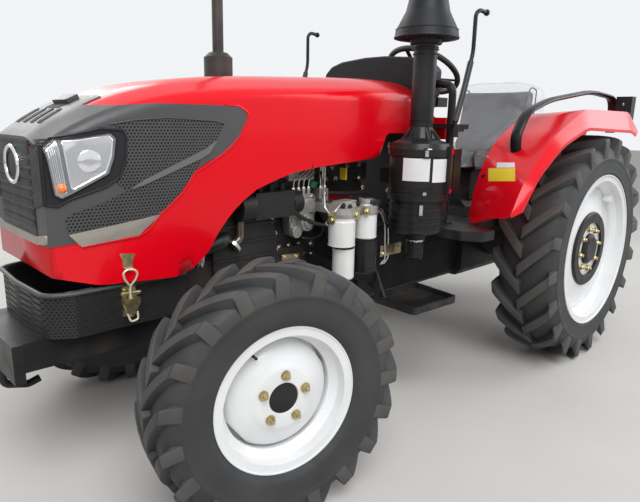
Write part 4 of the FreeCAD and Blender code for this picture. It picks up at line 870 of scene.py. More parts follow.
def landing(tree, look, u, v):
    """The point and normal where the look first meets the surface: the side at (x, z), the front at (y, z), the top at (x, y)."""
    start = {"side": spot(u, 3000, v), "front": spot(5200, u, v), "top": spot(u, v, 4000)}[look]
    place, normal, face, distance = tree.ray_cast(start, LOOKS[look])
    if place is None:
        place, normal, face, distance = tree.find_nearest(start + LOOKS[look] * 2.75)
    if normal.dot(LOOKS[look]) > 0:
        normal = -normal
    return place, normal


def resampled(corners, step, closed=True):
    """Points along an outline or an open run, no further apart than the step."""
    points = []
    ends = corners[1:] + corners[:1] if closed else corners[1:]
    for before, after in zip(corners, ends):
        count = max(1, round((after - before).length / step))
        points.extend(before.lerp(after, number / count) for number in range(count))
    return points if closed else points + [corners[-1]]


def inside(point, outline):
    within = False
    for before, after in zip(outline, outline[1:] + outline[:1]):
        if (before.y > point.y) != (after.y > point.y):
            if point.x < before.x + (after.x - before.x) * (point.y - before.y) / (after.y - before.y):
                within = not within
    return within


def surface_patch(tree, look, corners, low, high, step=14, radius=0):
    """A sheet that follows the surface within an outline, from low to high above it."""
    outline = resampled(rounded(corners, radius), step)
    points = list(outline)
    left = min(point.x for point in outline)
    foot = min(point.y for point in outline)
    columns = int((max(point.x for point in outline) - left) / step) + 1
    rows = int((max(point.y for point in outline) - foot) / step) + 1
    for column in range(columns):
        for row in range(rows):
            point = Vector((left + (column + 0.5) * step, foot + (row + 0.5) * step))
            if inside(point, outline) and min((point - other).length for other in outline) > step * 0.45:
                points.append(point)
    edges = [(number, (number + 1) % len(outline)) for number in range(len(outline))]
    flat, joined, faces = delaunay_2d_cdt(points, edges, [], 1, 1e-4)[:3]
    sheet = bmesh.new()
    verts = [sheet.verts.new(landing(tree, look, point.x, point.y)[0]) for point in flat]
    for face in faces:
        sheet.faces.new([verts[index] for index in face])
    sheet.normal_update()
    if sum((face.normal * face.calc_area() for face in sheet.faces), Vector()).dot(LOOKS[look]) > 0:
        bmesh.ops.reverse_faces(sheet, faces=sheet.faces)
        sheet.normal_update()
    part = bmesh.new()
    upper = {vert: part.verts.new(vert.co + vert.normal * high / 1000) for vert in verts if vert.link_faces}
    lower = {vert: part.verts.new(vert.co + vert.normal * low / 1000) for vert in verts if vert.link_faces}
    for face in sheet.faces:
        part.faces.new([upper[vert] for vert in face.verts])
        part.faces.new([lower[vert] for vert in reversed(face.verts)])
    for edge in sheet.edges:
        if len(edge.link_faces) == 1:
            first, second = edge.verts
            part.faces.new((upper[first], upper[second], lower[second], lower[first]))
    bmesh.ops.recalc_face_normals(part, faces=part.faces)
    sheet.free()
    return part


def bead(tree, look, corners, lift, thick, radius=0, closed=True, flat=1.0):
    """A round bead along an outline or an open run on the surface; thick is its radius."""
    run = rounded(corners, radius) if closed else [Vector(corner) for corner in corners]
    path = []
    for point in resampled(run, 9, closed):
        place, normal = landing(tree, look, point.x, point.y)
        path.append(place + normal * lift / 1000)
    if closed:
        path += path[:2]
    return swept(path, thick, 8, flat)


# Hood: outlines on its side are (x, z) with x from the front axle, on its front (y, z)

UPPER_FIELD = [(331, 1162), (265, 1174), (165, 1183), (-3, 1176), (-34, 1168), (-8, 1122), (35, 1094), (171, 1035), (260, 995),
               (295, 977), (323, 998), (302, 1035), (285, 1118), (286, 1146)]
LOWER_FIELD = [(48, 1061), (72, 1026), (120, 967), (194, 898), (460, 864), (465, 905), (443, 921), (363, 944), (296, 973),
               (225, 998)]
RIDGE = [(-10, 1122), (35, 1092), (246, 1002), (290, 976), (246, 988), (50, 1062), (22, 1078)]
WEDGE = [(460, 862), (194, 898), (242, 860), (264, 842), (379, 830), (424, 823)]
INLAY_EDGE = [(-40, 1226), (-91, 1224), (-124, 1207), (-127, 1185), (-90, 1122),
              (-32, 1075), (48, 1030), (72, 1021), (120, 957), (194, 898), (232, 854), (264, 837), (379, 828), (424, 823)]
LAMP_SURROUND = [(505, 1115), (479, 1118), (359, 1150), (295, 1146), (287, 1128), (293, 1063), (312, 1016), (351, 990), (449, 959),
                 (479, 942), (505, 948)]
LAMP_LENS = [(499, 1093), (471, 1114), (333, 1137), (320, 1123), (327, 1073), (344, 1027), (443, 976), (469, 964), (485, 974)]
MAIN_CELL = [(457, 1113), (338, 1131), (327, 1119), (333, 1075), (350, 1031), (442, 984)]
NARROW_CELL = [(493, 1090), (472, 1107), (469, 1110), (455, 972), (466, 969), (480, 977)]


def from_axle(corners):
    return [(x + WHEEL_BASE,) + tuple(rest) for x, *rest in corners]


def add_hood_inlays():
    tree = tree_of("hood_shell", "grilles")
    group = Group("HoodInlays", "hood", "grey_plastic")
    group.add(surface_patch(tree, "side", from_axle(UPPER_FIELD), 0.3, 1.2, radius=8), PERFORATED, True)
    group.add(surface_patch(tree, "side", from_axle(LOWER_FIELD), 0.3, 1.2, radius=8), PERFORATED, True)
    group.add(bead(tree, "side", from_axle(UPPER_FIELD[:5]), 1.2, 3.2, closed=False, flat=0.8), GREY_PLASTIC, True)
    group.add(surface_patch(tree, "side", from_axle(RIDGE), 0.5, 5.0, radius=4), RIDGE_GREY, True)
    group.add(surface_patch(tree, "side", from_axle(WEDGE), 0.5, 4.5, radius=3), PALE_TRIM, True)
    group.add(bead(tree_of("hood_shell"), "side", from_axle(INLAY_EDGE), 2.0, 3.4, closed=False), RED, True)
    nose = surface_patch(tree, "front", [(-152, 846), (152, 846), (152, 1116), (-152, 1116)], 0.3, 1.4, radius=6)
    group.add(nose, NOSE_BLACK)
    face_x = landing(tree, "front", 0, 1000)[0].x * 1000 - REAR_AXLE
    for number in range(30):
        z = 872 + number * 8.2
        group.add(block((face_x, face_x + 4), (-146, 146), (z, z + 3.4), 0.8), NOSE_BLACK)
    # Nose-top slots: not cut; each is a near-black patch of painted shade inside a grey frame
    for y in (-93, -31, 31, 93):
        slot = [(462, y - 9), (462, y + 9), (404, y + 7), (398, y), (404, y - 7)]
        group.add(surface_patch(tree, "top", from_axle(slot), 0.3, 1.0, 9, 3), DIAL_BLACK_AND_PAINTED_SHADE)
        group.add(bead(tree, "top", from_axle(slot), 1.5, 2.0), GREY_PLASTIC)
    group.add(surface_patch(tree, "top", from_axle([(366, -60), (366, 60), (326, 52), (326, -52)]), 0.5, 13, 10, 8), GREY_PLASTIC)
    # Flat near-black patch before the raised scoop: painted shade standing in for its opening
    group.add(surface_patch(tree, "top", from_axle([(392, -56), (392, 56), (367, 58), (367, -58)]), 0.5, 1.2, 10, 5), DIAL_BLACK_AND_PAINTED_SHADE)
    for reach, tube, material in ((52, 7, CHROME), (40, 3, NOSE_BLACK)):
        ring = [(face_x + 5, 1.12 * reach * math.cos(turn), 1042 + reach * math.sin(turn))
                for turn in [2 * math.pi * step / 40 for step in range(41)]]
        group.add(pipe(ring, tube, 2, 10, 1), material)
    group.add(turned((face_x + 1, 0, 1042), (1, 0, 0), [(0, 0), (44, 0), (42, 4), (0, 5)], 40), NOSE_BLACK)
    lip = [(-232, 866), (-150, 850), (150, 850), (232, 866), (228, 838), (150, 828), (-150, 828), (-228, 838)]
    group.add(surface_patch(tree, "front", lip, 0.4, 7, radius=6), PALE_TRIM)
    group.close()


def add_headlamps():
    """Black surround round the hood's front corner, two chrome cells, an amber bulb and the clear lens over them."""
    tree = tree_of("hood_shell")
    group = Group("Headlamps", "hood", "lens", "headlamps")
    group.add(surface_patch(tree, "side", from_axle(LAMP_SURROUND), 0, 6.5, radius=8), NOSE_BLACK, True)
    front = [(153, 1096), (228, 1114), (228, 948), (160, 930), (153, 940)]
    group.add(surface_patch(tree, "front", front, 0, 6.5, radius=5), NOSE_BLACK, True)
    corner_x = WHEEL_BASE + 510
    group.add(pipe([(corner_x, 231, 944), (corner_x, 231, 1108)], 7, 5, 10, 2), NOSE_BLACK, True)
    group.add(bead(tree, "side", from_axle(LAMP_SURROUND[1:]), 6, 4, 8, closed=False), NOSE_BLACK, True)
    group.add(bead(tree, "side", from_axle(LAMP_LENS), 8, 5, 7), NOSE_BLACK, True)
    group.add(surface_patch(tree, "side", from_axle(MAIN_CELL), 6, 7.5, radius=9), CHROME, True)
    group.add(bead(tree, "side", from_axle(MAIN_CELL), 9, 2.2, 8), CHROME, True)
    group.add(surface_patch(tree, "side", from_axle(NARROW_CELL), 6, 7.5, 8, 4), CELL_GREY, True)
    group.add(bead(tree, "side", from_axle(NARROW_CELL), 9, 2.0, 5), CHROME, True)
    for number in range(4):
        share = (number + 1) / 5
        foot = Vector((456, 980)).lerp(Vector((479, 984)), share)
        top = Vector((468, 1104)).lerp(Vector((491, 1088)), share)
        group.add(bead(tree, "side", from_axle([tuple(foot), tuple(top)]), 8.2, 1.0, closed=False), CHROME, True)
    centre, normal = landing(tree, "side", 466 + WHEEL_BASE, 990)
    away = [(0, 6), (14, 6), (14, 8), (11, 15), (6, 18), (0, 19)]
    place = (centre.x * 1000 - REAR_AXLE, centre.y * 1000, centre.z * 1000)
    group.add(turned(place, normal, away, 24), AMBER, True)
    centre, normal = landing(tree, "side", 392 + WHEEL_BASE, 1062)
    place = (centre.x * 1000 - REAR_AXLE, centre.y * 1000, centre.z * 1000)
    group.add(turned(place, normal, [(0, 10), (24, 9), (27, 8), (30, 7.5), (31, 9.5), (28, 11), (12, 12), (0, 12)], 28), CHROME, True)
    group.add(surface_patch(tree, "side", from_axle(LAMP_LENS), 13, 15, radius=7), LENS, True)
    group.close()


def add_hood_latch():
    """Hook plate on the hood; wire loop, catch body and handle on the skirt, both sides."""
    hook = Group("HoodHooks", "hood", "bright_steel")
    tree = tree_of("hood_shell")
    plate_outline = [(278, 786), (326, 792), (318, 772), (316, 745), (290, 741), (288, 768)]
    hook.add(surface_patch(tree, "side", from_axle(plate_outline), 0.3, 3.5, 8, 3), ZINC, True)
    hook.add(bead(tree, "side", from_axle([(290, 743), (316, 747)]), 7, 4, closed=False), ZINC, True)
    for x, z in ((295, 776), (310, 778)):
        place, normal = landing(tree, "side", x + WHEEL_BASE, z)
        hook.add(bolt((place.x * 1000 - REAR_AXLE, place.y * 1000, place.z * 1000 + 1), normal, 8, 3, False), ZINC, True)
    hook.close()
    catch = Group("HoodCatches", "chassis", "bright_steel")
    loop = [(2242, 263, 690), (2260, 271, 712), (2268, 276, 736), (2256, 278, 746), (2232, 278, 742), (2222, 276, 730), (2228, 271, 708),
            (2242, 263, 690), (2240, 258, 640)]
    catch.add(pipe(loop, 3.2, 8, 8, 3), LABEL_CREAM, True)
    catch.add(block((2214, 2258), (236, 241), (590, 684), 1.0), ZINC, True)
    catch.add(block((2210, 2262), (238, 262), (632, 648), 2.0), ZINC, True)
    catch.add(plate([(2208, 632), (2264, 636), (2254, 600), (2222, 598)], "xz", 240, 258, 4), ZINC, True)
    catch.add(rod((2236, 249, 682), (2236, 249, 590), 8), ZINC, True)
    catch.add(rod((2206, 250, 662), (2266, 250, 666), 7), ZINC, True)
    catch.add(pipe([(2220, 256, 604), (2220, 260, 580), (2244, 260, 576), (2252, 256, 602)], 3.2, 8, 8, 3), LABEL_CREAM, True)
    for x in (2224, 2250):
        catch.add(bolt((x, 241, 672), (0, 1, 0), 10, 4), ZINC, True)
        catch.add(bolt((x, 241, 612), (0, 1, 0), 10, 4), ZINC, True)
    catch.close()
    trim = Group("SkirtTrim", "chassis", "grey_plastic")
    edge = [(98, 237), (458, 236), (512, 212), (528, 190), (538, 0)]
    outline = [(x + WHEEL_BASE, y, 689) for x, y in edge]
    whole = outline + [(x, -y, z) for x, y, z in reversed(outline[:-1])]
    trim.add(pipe(whole, 7, 30, 8, 4), GREY_PLASTIC)
    trim.close()


add_hood_inlays()
add_headlamps()
add_hood_latch()


# Engine side

def bolts_on(group, places, axis, size, material, both_sides=False):
    for place in places:
        group.add(bolt(place, axis, size, size * 0.55), material, both_sides)


def add_engine_side():
    """Castings, fuel lines, caps and bolts on the engine's left side."""
    side = 165
    group = Group("EngineFittings", "chassis", "cast_aluminium")
    # Timing case at the block's front end, its rim and ribs
    rim = [(1600, 612), (1606, 760), (1640, 846), (1700, 900), (1860, 930), (1925, 900), (1925, 612)]
    group.add(plate(rim, "xz", side, side + 16, 30, 2), CAST)
    group.add(plate([(1615, 630), (1620, 755), (1652, 832), (1704, 880), (1850, 912), (1905, 884), (1905, 630)], "xz", side + 16,
                    side + 34, 30, 3), CAST)
    for x, z in ((1608, 640), (1609, 700), (1614, 760), (1630, 812), (1664, 864), (1720, 900), (1790, 916)):
        group.add(bolt((x + 4, side + 16, z), (0, 1, 0), 13, 8), STEEL)
    for z in (690, 750, 810):
        group.add(block((1630, 1900), (side + 30, side + 40), (z, z + 8), 3), CAST)
    # Pump casting with its flange, ribs and lines
    body = [(1576, 893), (1532, 906), (1447, 906), (1436, 850), (1445, 806), (1475, 768), (1559, 743), (1572, 800)]
    group.add(plate(body, "xz", side, side + 52, 14, 4), ALUMINIUM)
    group.add(plate([(1552, 884), (1470, 892), (1462, 836), (1540, 826)], "xz", side + 52, side + 74, 12, 4), ALUMINIUM)
    group.add(rod((1505, side + 50, 800), (1505, side + 82, 800), 34), ALUMINIUM)
    group.add(rod((1505, side + 80, 800), (1505, side + 90, 800), 22), ALUMINIUM)
    group.add(rod((1545, side + 40, 765), (1545, side + 66, 765), 24), ALUMINIUM)
    for x in (1466, 1492, 1518, 1544):
        group.add(rod((x, side + 36, 890), (x, side + 36, 926), 9), STEEL)
        group.add(bolt((x, side + 36, 922), (0, 0, 1), 15, 10), STEEL)
    for x, z in ((1458, 894), (1562, 884), (1566, 812), (1482, 778), (1548, 752), (1452, 836)):
        group.add(bolt((x, side + 52, z), (0, 1, 0), 12, 8), STEEL)
    for number in range(5):
        group.add(block((1448 + 24 * number, 1454 + 24 * number), (side + 50, side + 58), (846, 890), 1.5), ALUMINIUM)
    for number, x in enumerate((1466, 1492, 1518, 1544)):
        top = 1010 + 6 * number
        line = [(x, side + 36, 930), (x, side + 40, 962), (x - 60 - 10 * number, side + 20, top - 24), (x - 80 + 30 * number, 150, top + 10),
                (x - 60 + 40 * number, 120, 1040)]
        group.add(pipe(line, 3.2, 24, 8, 4), STEEL)
    for x in (1376, 1388, 1400):
        group.add(pipe([(x, side + 35, 925), (x, side + 35, 1005)], 4, 10, 8, 2), STEEL)
        group.add(bolt((x, side + 35, 918), (0, 0, 1), 12, 12, False), STEEL)
    group.add(block((1364, 1412), (side, side + 44), (880, 920), 4), ALUMINIUM)
    group.add(block((1372, 1404), (side + 6, side + 52), (836, 884), 5), ALUMINIUM)
    for z in (846, 866, 898):
        group.add(bolt((1388, side + 50, z), (0, 1, 0), 15, 9), STEEL)
    # Oil gallery plugs in a row along the block
    for x, z in ((1585, 694), (1535, 696), (1485, 694), (1414, 689), (1355, 686), (1459, 659), (1413, 644), (1356, 644)):
        group.add(bolt((x - 4, side, z), (0, 1, 0), 17, 7), STEEL)
    for x in range(1392, 1600, 26):
        group.add(block((x, x + 7), (side, side + 9), (610, 634), 2), CAST)
    group.add(block((1386, 1600), (side, side + 12), (600, 612), 3), CAST)
    for x in range(1400, 1600, 32):
        group.add(bolt((x, side + 5, 606), (0, -0.001, -1), 11, 7), STEEL)
    group.add(plate([(1508, 648), (1597, 656), (1597, 676), (1508, 671)], "xz", side + 30, side + 36, 3, 1), ZINC)
    group.add(block((1545, 1560), (side, side + 34), (652, 668), 2), ZINC)
    bolts_on(group, ((1522, side + 36, 661), (1584, side + 36, 667)), (0, 1, 0), 12, ZINC)
    # Caps, bottle, tag and the row of bolts under the hood
    group.add(rod((1436, 176, 905), (1430, 184, 934), 10), CAST)
    group.add(rod((1432, 182, 926), (1426, 190, 952), 20, 20, 4), GREEN)
    group.add(block((1412, 1545), (120, 176), (955, 1000), 12), BOTTLE_WHITE)
    group.add(block((1400, 1560), (124, 172), (944, 956), 3), BLACK)
    group.add(block((1250, 1259), (170, 203), (946, 994), 1), LABEL_YELLOW)
    group.add(block((1126, 1350), (110, 172), (892, 940), 5), BLACK)
    group.add(block((1090, 1390), (140, 166), (936, 1010), 5), CAST)
    for x, z in ((1338, 949), (1279, 948), (1134, 943), (1137, 1004), (1210, 1000), (1300, 998)):
        group.add(bolt((x, 166, z), (0, 1, 0), 14, 8), STEEL)
    group.add(pipe([(1380, 190, 900), (1240, 214, 889), (1130, 214, 884), (1092, 200, 840)], 9, 30, 10, 4), HOSE)
    # Hose from the pump to the filters
    run = [(1645, 236, 897), (1624, 240, 893), (1581, 244, 853), (1536, 246, 821), (1482, 260, 795), (1440, 290, 786), (1470, 322, 806)]
    group.add(pipe(run, 8, 30, 10, 4), HOSE)
    for x, y, z in ((1640, 237, 896), (1462, 316, 801)):
        group.add(rod((x - 5, y - 3, z - 4), (x + 6, y + 3, z + 3), 11), STEEL)
    group.add(pipe([(1520, side + 60, 740), (1470, side + 70, 728), (1410, side + 66, 742), (1390, side + 40, 780)], 5, 20, 8, 4), HOSE)
    group.close()


def add_cooling_pipe():
    """Steel coolant pipe down to the thick lower hose, with bright clamps, and the belt pulley beside it."""
    group = Group("CoolingPipe", "chassis", "bright_steel")
    group.add(pipe([(1740, 196, 893), (1802, 214, 890), (1802, 214, 770), (1830, 214, 752)], 15, 26, 16, 5), PIPE_BROWN)
    for axis_start, axis_end, radius in (((1826, 214, 752), (1836, 214, 744), 30), ((2058, 180, 737), (2067, 180, 737), 31)):
        group.add(rod(axis_start, axis_end, radius, 28), STEEL)
    group.add(turned((1938, 130, 725), (1, 0, 0), [(0, 0), (66, 0), (70, 3), (66, 7), (60, 12), (66, 17), (70, 21), (66, 24), (0, 24)], 40),
              STEEL)
    group.close()


def add_filter_details():
    """Cast plates on the filter heads, their caps, banjo bolts, steel lines and the tan bracket."""
    group = Group("FilterFittings", "chassis", "cast_aluminium")
    head = [(1496, 851), (1470, 872), (1446, 888), (1372, 891), (1346, 874), (1340, 850)]
    group.add(plate(head, "xz", 318, 372, 12, 4), ALUMINIUM)
    group.add(plate([(1462, 866), (1442, 880), (1376, 882), (1356, 866)], "xz", 372, 382, 8, 3), ALUMINIUM)
    group.add(turned((1425, 350, 829), (0, 0, 1), [(0, 0), (53, 0), (55, 4), (55, 16), (46, 22), (44, 34), (0, 36)], 40), ALUMINIUM)
    group.add(turned((1290, 350, 829), (0, 0, 1), [(0, 0), (48, 0), (50, 4), (50, 14), (40, 24), (34, 40), (0, 42)], 36), ALUMINIUM)
    group.add(turned((1266, 352, 862), (-0.2, 0.1, 1), [(0, 0), (38, 0), (44, 4), (44, 22), (40, 28), (0, 32)], 32), BLACK)
    for x, z in ((1454, 876), (1418, 868), (1372, 878)):
        group.add(bolt((x, 381, z), (0, 1, 0), 14, 8), CAST)
    for place, axis in (((1480, 350, 846), (1, 0.4, 0)), ((1482, 350, 822), (1, 0.2, 0)), ((1330, 392, 846), (0, 1, 0)), ((1400, 400, 840), (0, 1, 0))):
        group.add(bolt(place, axis, 20, 10), ZINC)
    group.add(pipe([(1496, 356, 846), (1520, 350, 868), (1476, 300, 930), (1420, 220, 990)], 4, 20, 8, 4), STEEL)
    group.add(pipe([(1243, 352, 846), (1206, 352, 832), (1172, 352, 776), (1163, 352, 620), (1180, 345, 600)], 4.5, 30, 8, 4), STEEL)
    group.add(pipe([(1243, 338, 850), (1186, 338, 846), (1136, 340, 764), (1127, 340, 618), (1150, 335, 596)], 4.5, 30, 8, 4), STEEL)
    group.add(block((1050, 1186), (344, 348), (634, 680), 1), ZINC)
    bolts_on(group, ((1066, 348, 668), (1170, 348, 646)), (0, 1, 0), 12, STEEL)
    # Seams, collar and hexagon of the spin-on filters, and the black cylinder's bands
    for radius, x, z in ((53, 1425, 718), (46, 1290, 734)):
        group.add(turned((x, 350, z), (0, 0, 1), [(radius - 4, 0), (radius - 0.2, 1), (radius - 0.2, 5), (radius - 4, 6)], 40), FILTER_WHITE)
    group.add(turned((1412, 350, 706), (0, 0, 1), [(0, 0), (40, 0), (40, 10), (0, 10)], 36), BLACK)
    for z in (606, 660, 716):
        group.add(turned((1290, 350, z), (0, 0, 1), [(46, 0), (50, 0.5), (50, 7.5), (46, 8)], 40), BLACK)
    guard = [(1338, 728), (1208, 728), (1160, 520), (1180, 512), (1330, 560)]
    group.add(plate(guard, "xz", 306, 311, 10, 1), BLACK)
    group.close()


def arc_plate(centre, radius, start, end, low, high, thick):
    """A curved plate round an upright axis, between two angles in degrees."""
    part = bmesh.new()
    steps = max(2, round(abs(end - start) / 3))
    rows = []
    for step in range(steps + 1):
        angle = math.radians(start + (end - start) * step / steps)
        rows.append([part.verts.new(spot(centre[0] + reach * math.cos(angle), centre[1] + reach * math.sin(angle), z))
                     for reach, z in ((radius, low), (radius + thick, low), (radius + thick, high), (radius, high))])
    for first, second in zip(rows, rows[1:]):
        for step in range(4):
            after = (step + 1) % 4
            part.faces.new((first[step], first[after], second[after], second[step]))
    part.faces.new(rows[0])
    part.faces.new(list(reversed(rows[-1])))
    bmesh.ops.recalc_face_normals(part, faces=part.faces)
    return part


def add_air_cleaner_details():
    """Blank labels, clips, the latch, the bowl's clamp, the pipe's rings and gussets on the lid and cone."""
    group = Group("CleanerFittings", "chassis", "black_paint")
    axis = (1060, 425)
    group.add(arc_plate(axis, 120.2, 6, 57, 960, 1048, 0.8), LABEL_WHITE)
    group.add(arc_plate(axis, 120.2, 63, 99, 956, 1046, 0.8), LABEL_WHITE)
    for angle in (49, 110, 190, 290):
        turn = math.radians(angle)
        out = Vector((math.cos(turn), math.sin(turn), 0))
        for low, high, reach in ((1050, 1088, 127), (900, 926, 126)):
            group.add(arc_plate(axis, 122, angle - 6, angle + 6, low, high, reach - 122), BLACK)
            group.add(arc_plate(axis, reach, angle - 3, angle + 3, low + 6, high - 8, 3), STEEL)
        middle = (axis[0] + out.x * 129, axis[1] + out.y * 129, 1084)
        group.add(rod(middle, (middle[0] - out.y * 18, middle[1] + out.x * 18, 1084), 3), STEEL)
    group.add(arc_plate(axis, 121, 100, 112, 905, 1095, 16), BLACK)
    group.add(arc_plate(axis, 137, 101, 108, 1066, 1086, 4), RED)
    group.add(arc_plate(axis, 137, 101, 108, 912, 926, 4), RED)
    for low in (912, 930):
        group.add(turned((1060, 425, low), (0, 0, 1), [(119, 0), (121.6, 1), (121.6, 4), (119, 5)], 72), BLACK)
    group.add(arc_plate(axis, 112, 40, 50, 812, 874, 8), PLASTIC)
    group.add(arc_plate(axis, 120, 42, 48, 826, 866, 3), STEEL)
    group.add(turned((1060, 425, 700), (0, 0, 1), [(30, 0), (40.5, 1), (40.5, 9), (30, 10)], 36), STEEL)
    group.add(bolt((1088, 453, 705), (1, 1, 0), 9, 12, False), STEEL)
    for z in (640, 655, 670):
        group.add(turned((1060, 425, z), (0, 0, 1), [(36, 0), (38.5, 1), (38.5, 4), (36, 5)], 36), BLACK)
    for step in range(12):
        angle = 30 * step
        turn = math.radians(angle)
        foot = (axis[0] + 78 * math.cos(turn), axis[1] + 78 * math.sin(turn), 1116)
        group.add(rod(foot, (axis[0] + 47 * math.cos(turn), axis[1] + 47 * math.sin(turn), 1160), 3, 8), BLACK)
    for z, reach in ((1190, 49.5), (1440, 50), (1458, 52), (1466, 50)):
        group.add(turned((1060, 425, z), (0, 0, 1), [(45, 0), (reach, 1), (reach, 5), (45, 6)], 40), PLASTIC)
    group.close()
    cone = Group("ConeFittings", "chassis", "grey_plastic")
    for step in range(10):
        turn = math.radians(36 * step + 10)
        inner = (axis[0] + 60 * math.cos(turn), axis[1] + 60 * math.sin(turn))
        outer = (axis[0] + 110 * math.cos(turn), axis[1] + 110 * math.sin(turn))
        cone.add(pipe([inner + (1482,), inner + (1498,), outer + (1502,)], 3, 10, 6, 2), PLASTIC)
    cone.add(turned((1060, 425, 1500), (0, 0, 1), [(118, 0), (125.5, 1), (126, 4), (124, 8), (120, 9)], 64), PLASTIC)
    cone.add(turned((1060, 425, 1530), (0, 0, 1), [(119, 0), (121, 1), (121, 4), (118, 5)], 64), PLASTIC)
    cone.close()


add_engine_side()
add_cooling_pipe()
add_filter_details()
add_air_cleaner_details()


# Driver's place

WHEEL_MIDDLE = (490, 0, 1440)
WHEEL_AXIS = (-math.sin(math.radians(32)), 0, math.cos(math.radians(32)))


def along(start, axis, distance):
    return tuple(place + part * distance for place, part in zip(start, axis))


def add_console():
    """Dash cowl with its dials, column cover, firewall, brackets and levers."""
    group = Group("Console", "chassis", "black_paint", "console")
    cowl = [(-318, 1296), (318, 1296), (323, 1408, 20), (280, 1444, 60), (210, 1464, 60), (60, 1476, 60), (-60, 1476, 60),
            (-210, 1464, 60), (-280, 1444, 60), (-323, 1408, 20)]
    group.add(plate(cowl, "yz", 790, 878, 8, 9), PLASTIC)
    group.add(plate([(-290, 1250), (290, 1250), (292, 1405, 30), (220, 1456, 90), (-220, 1456, 90), (-292, 1405, 30)], "yz", 772, 794, 8, 6),
              PLASTIC)
    group.add(block((790, 830), (-260, 260), (830, 1300), 4), BLACK)
    group.add(block((600, 772), (-120, 120), (760, 1300), 18), PLASTIC)
    group.add(block((640, 830), (-150, 150), (705, 830), 5), BLACK)
    group.add(block((830, 1080), (236, 256), (930, 990), 3), BLACK)
    group.add(block((1040, 1080), (256, 304.7), (930, 990), 3), BLACK)
    group.add(block((812, 862), (-488.2, 488.2), (1160, 1180), 3), BLACK)
    group.add(block((845, 900), (380, 486), (905, 1078), 5), BLACK)
    hook = [(830, 1190), (976, 1190), (976, 1334), (944, 1334), (944, 1234), (830, 1234)]
    for low in (86, -98):
        group.add(plate(hook, "xz", low, low + 12, 4, 1), BLACK)
    group.add(rod((960, -104, 1318), (960, 104, 1318), 8), ZINC)
    group.add(rod(along(WHEEL_MIDDLE, WHEEL_AXIS, -42), along(WHEEL_MIDDLE, WHEEL_AXIS, -300), 24), PLASTIC)
    group.add(block((690, 776), (-66, 66), (1180, 1290), 14), PLASTIC)
    # Dials and switches on the side that faces the driver
    group.add(plate([(-170, 1300), (170, 1300), (150, 1430), (-150, 1430)], "yz", 764, 773, 30, 4), GREY_PLASTIC)
    for y, z, reach in ((0, 1368, 46), (-96, 1376, 30), (96, 1376, 30), (-96, 1322, 16), (96, 1322, 16)):
        group.add(turned((765, y, z), (-1, 0, 0), [(0, 0), (reach - 6, 0), (reach - 5, 5), (reach, 5), (reach, 0)], 36), CHROME)
        group.add(turned((765, y, z), (-1, 0, 0), [(0, 1.5), (reach - 6, 1.5)], 36), DIAL_BLACK_AND_PAINTED_SHADE)
        group.add(rod((762, y, z), (762, y + reach * 0.5, z + reach * 0.35), 1.2), AMBER)
    for y in (-230, -200, 200, 230):
        group.add(rod((774, y, 1350), (758, y, 1350), 9), PLASTIC)
        group.add(rod((760, y, 1350), (748, y, 1350), 6), RED if y == 200 else PLASTIC)
    # Red box and the levers left of the column
    group.add(block((776, 806), (262, 366), (1113, 1207), 6), RED)
    group.add(block((690, 764), (205, 292), (1255, 1296), 6), PLASTIC)
    for y, tip in ((226, 1372), (262, 1352)):
        group.add(pipe([(730, y, 1290), (722, y, 1340), (700, y + 4, tip)], 5, 20, 8, 3), STEEL)
        group.add(turned((700, y + 4, tip), (-0.4, 0, 1), [(0, -6), (9, -4), (13, 8), (11, 20), (0, 24)], 20), GRIP)
    group.add(pipe([(702, -120, 1080), (640, -200, 1120), (560, -230, 1150)], 6, 30, 8, 4), STEEL)
    group.add(turned((560, -230, 1150), (-0.8, -0.3, 0.3), [(0, -4), (10, -2), (14, 12), (10, 24), (0, 27)], 20), GRIP)
    # Pedals on their arms
    for y, width in ((196, 62), (-176, 48), (-236, 48)):
        arm = [(786, y, 1010), (716, y, 960), (664, y, 850)]
        group.add(pipe(arm, 8, 60, 8, 4), BLACK)
        pad = block((632, 680), (y - width / 2, y + width / 2), (838, 850), 3)
        bmesh.ops.rotate(pad, cent=spot(656, y, 844), matrix=Matrix.Rotation(math.radians(28), 3, "Y"), verts=pad.verts)
        group.add(pad, GRIP)
        group.add(rod((786, y - 20, 1010), (786, y + 20, 1010), 13), BLACK)
    for y in (-240, -80, 80, 240):
        for z in (860, 1080, 1270):
            group.add(bolt((830, y, z), (1, 0, 0), 13, 7), ZINC)
    for y in (86, 98, -86, -98):
        group.add(bolt((850, y, 1212), (0, 1 if y in (98, -86) else -1, 0), 13, 7), ZINC)
    group.close()


def add_steering_wheel():
    """Rim, three spokes and a capped hub, on the joint's axis."""
    group = Group("SteeringWheel", "steering_wheel", "black_paint", "steering_wheel")
    middle = spot(*WHEEL_MIDDLE)
    forward = Vector(WHEEL_AXIS)
    side = Vector((0, 1, 0))
    other = forward.cross(side)
    path = [middle + (side * math.cos(2 * math.pi * step / 72) + other * math.sin(2 * math.pi * step / 72)) * 0.181
            for step in range(74)]
    group.add(swept(path, 14, 14), GRIP)
    for number in range(3):
        turn = 2 * math.pi * number / 3
        out = side * math.sin(turn) - other * math.cos(turn)
        run = [middle - forward * 0.022 + out * 0.02, middle - forward * 0.020 + out * 0.09, middle + out * 0.176]
        group.add(swept(run, 12, 12, 0.5), GRIP)
    group.add(turned(along(WHEEL_MIDDLE, WHEEL_AXIS, -42), WHEEL_AXIS, [(0, 0), (26, 0), (32, 8), (38, 20), (38, 34), (30, 42), (10, 46),
                                                                       (0, 46)], 40), PLASTIC)
    knob = tuple((middle + other * 0.181)[:])
    at = (knob[0] * 1000 - REAR_AXLE, knob[1] * 1000, knob[2] * 1000)
    group.add(turned(along(at, WHEEL_AXIS, 12), WHEEL_AXIS, [(0, 0), (8, 0), (8, 14), (20, 22), (22, 34), (14, 46), (0, 48)], 24), GRIP)
    group.close()


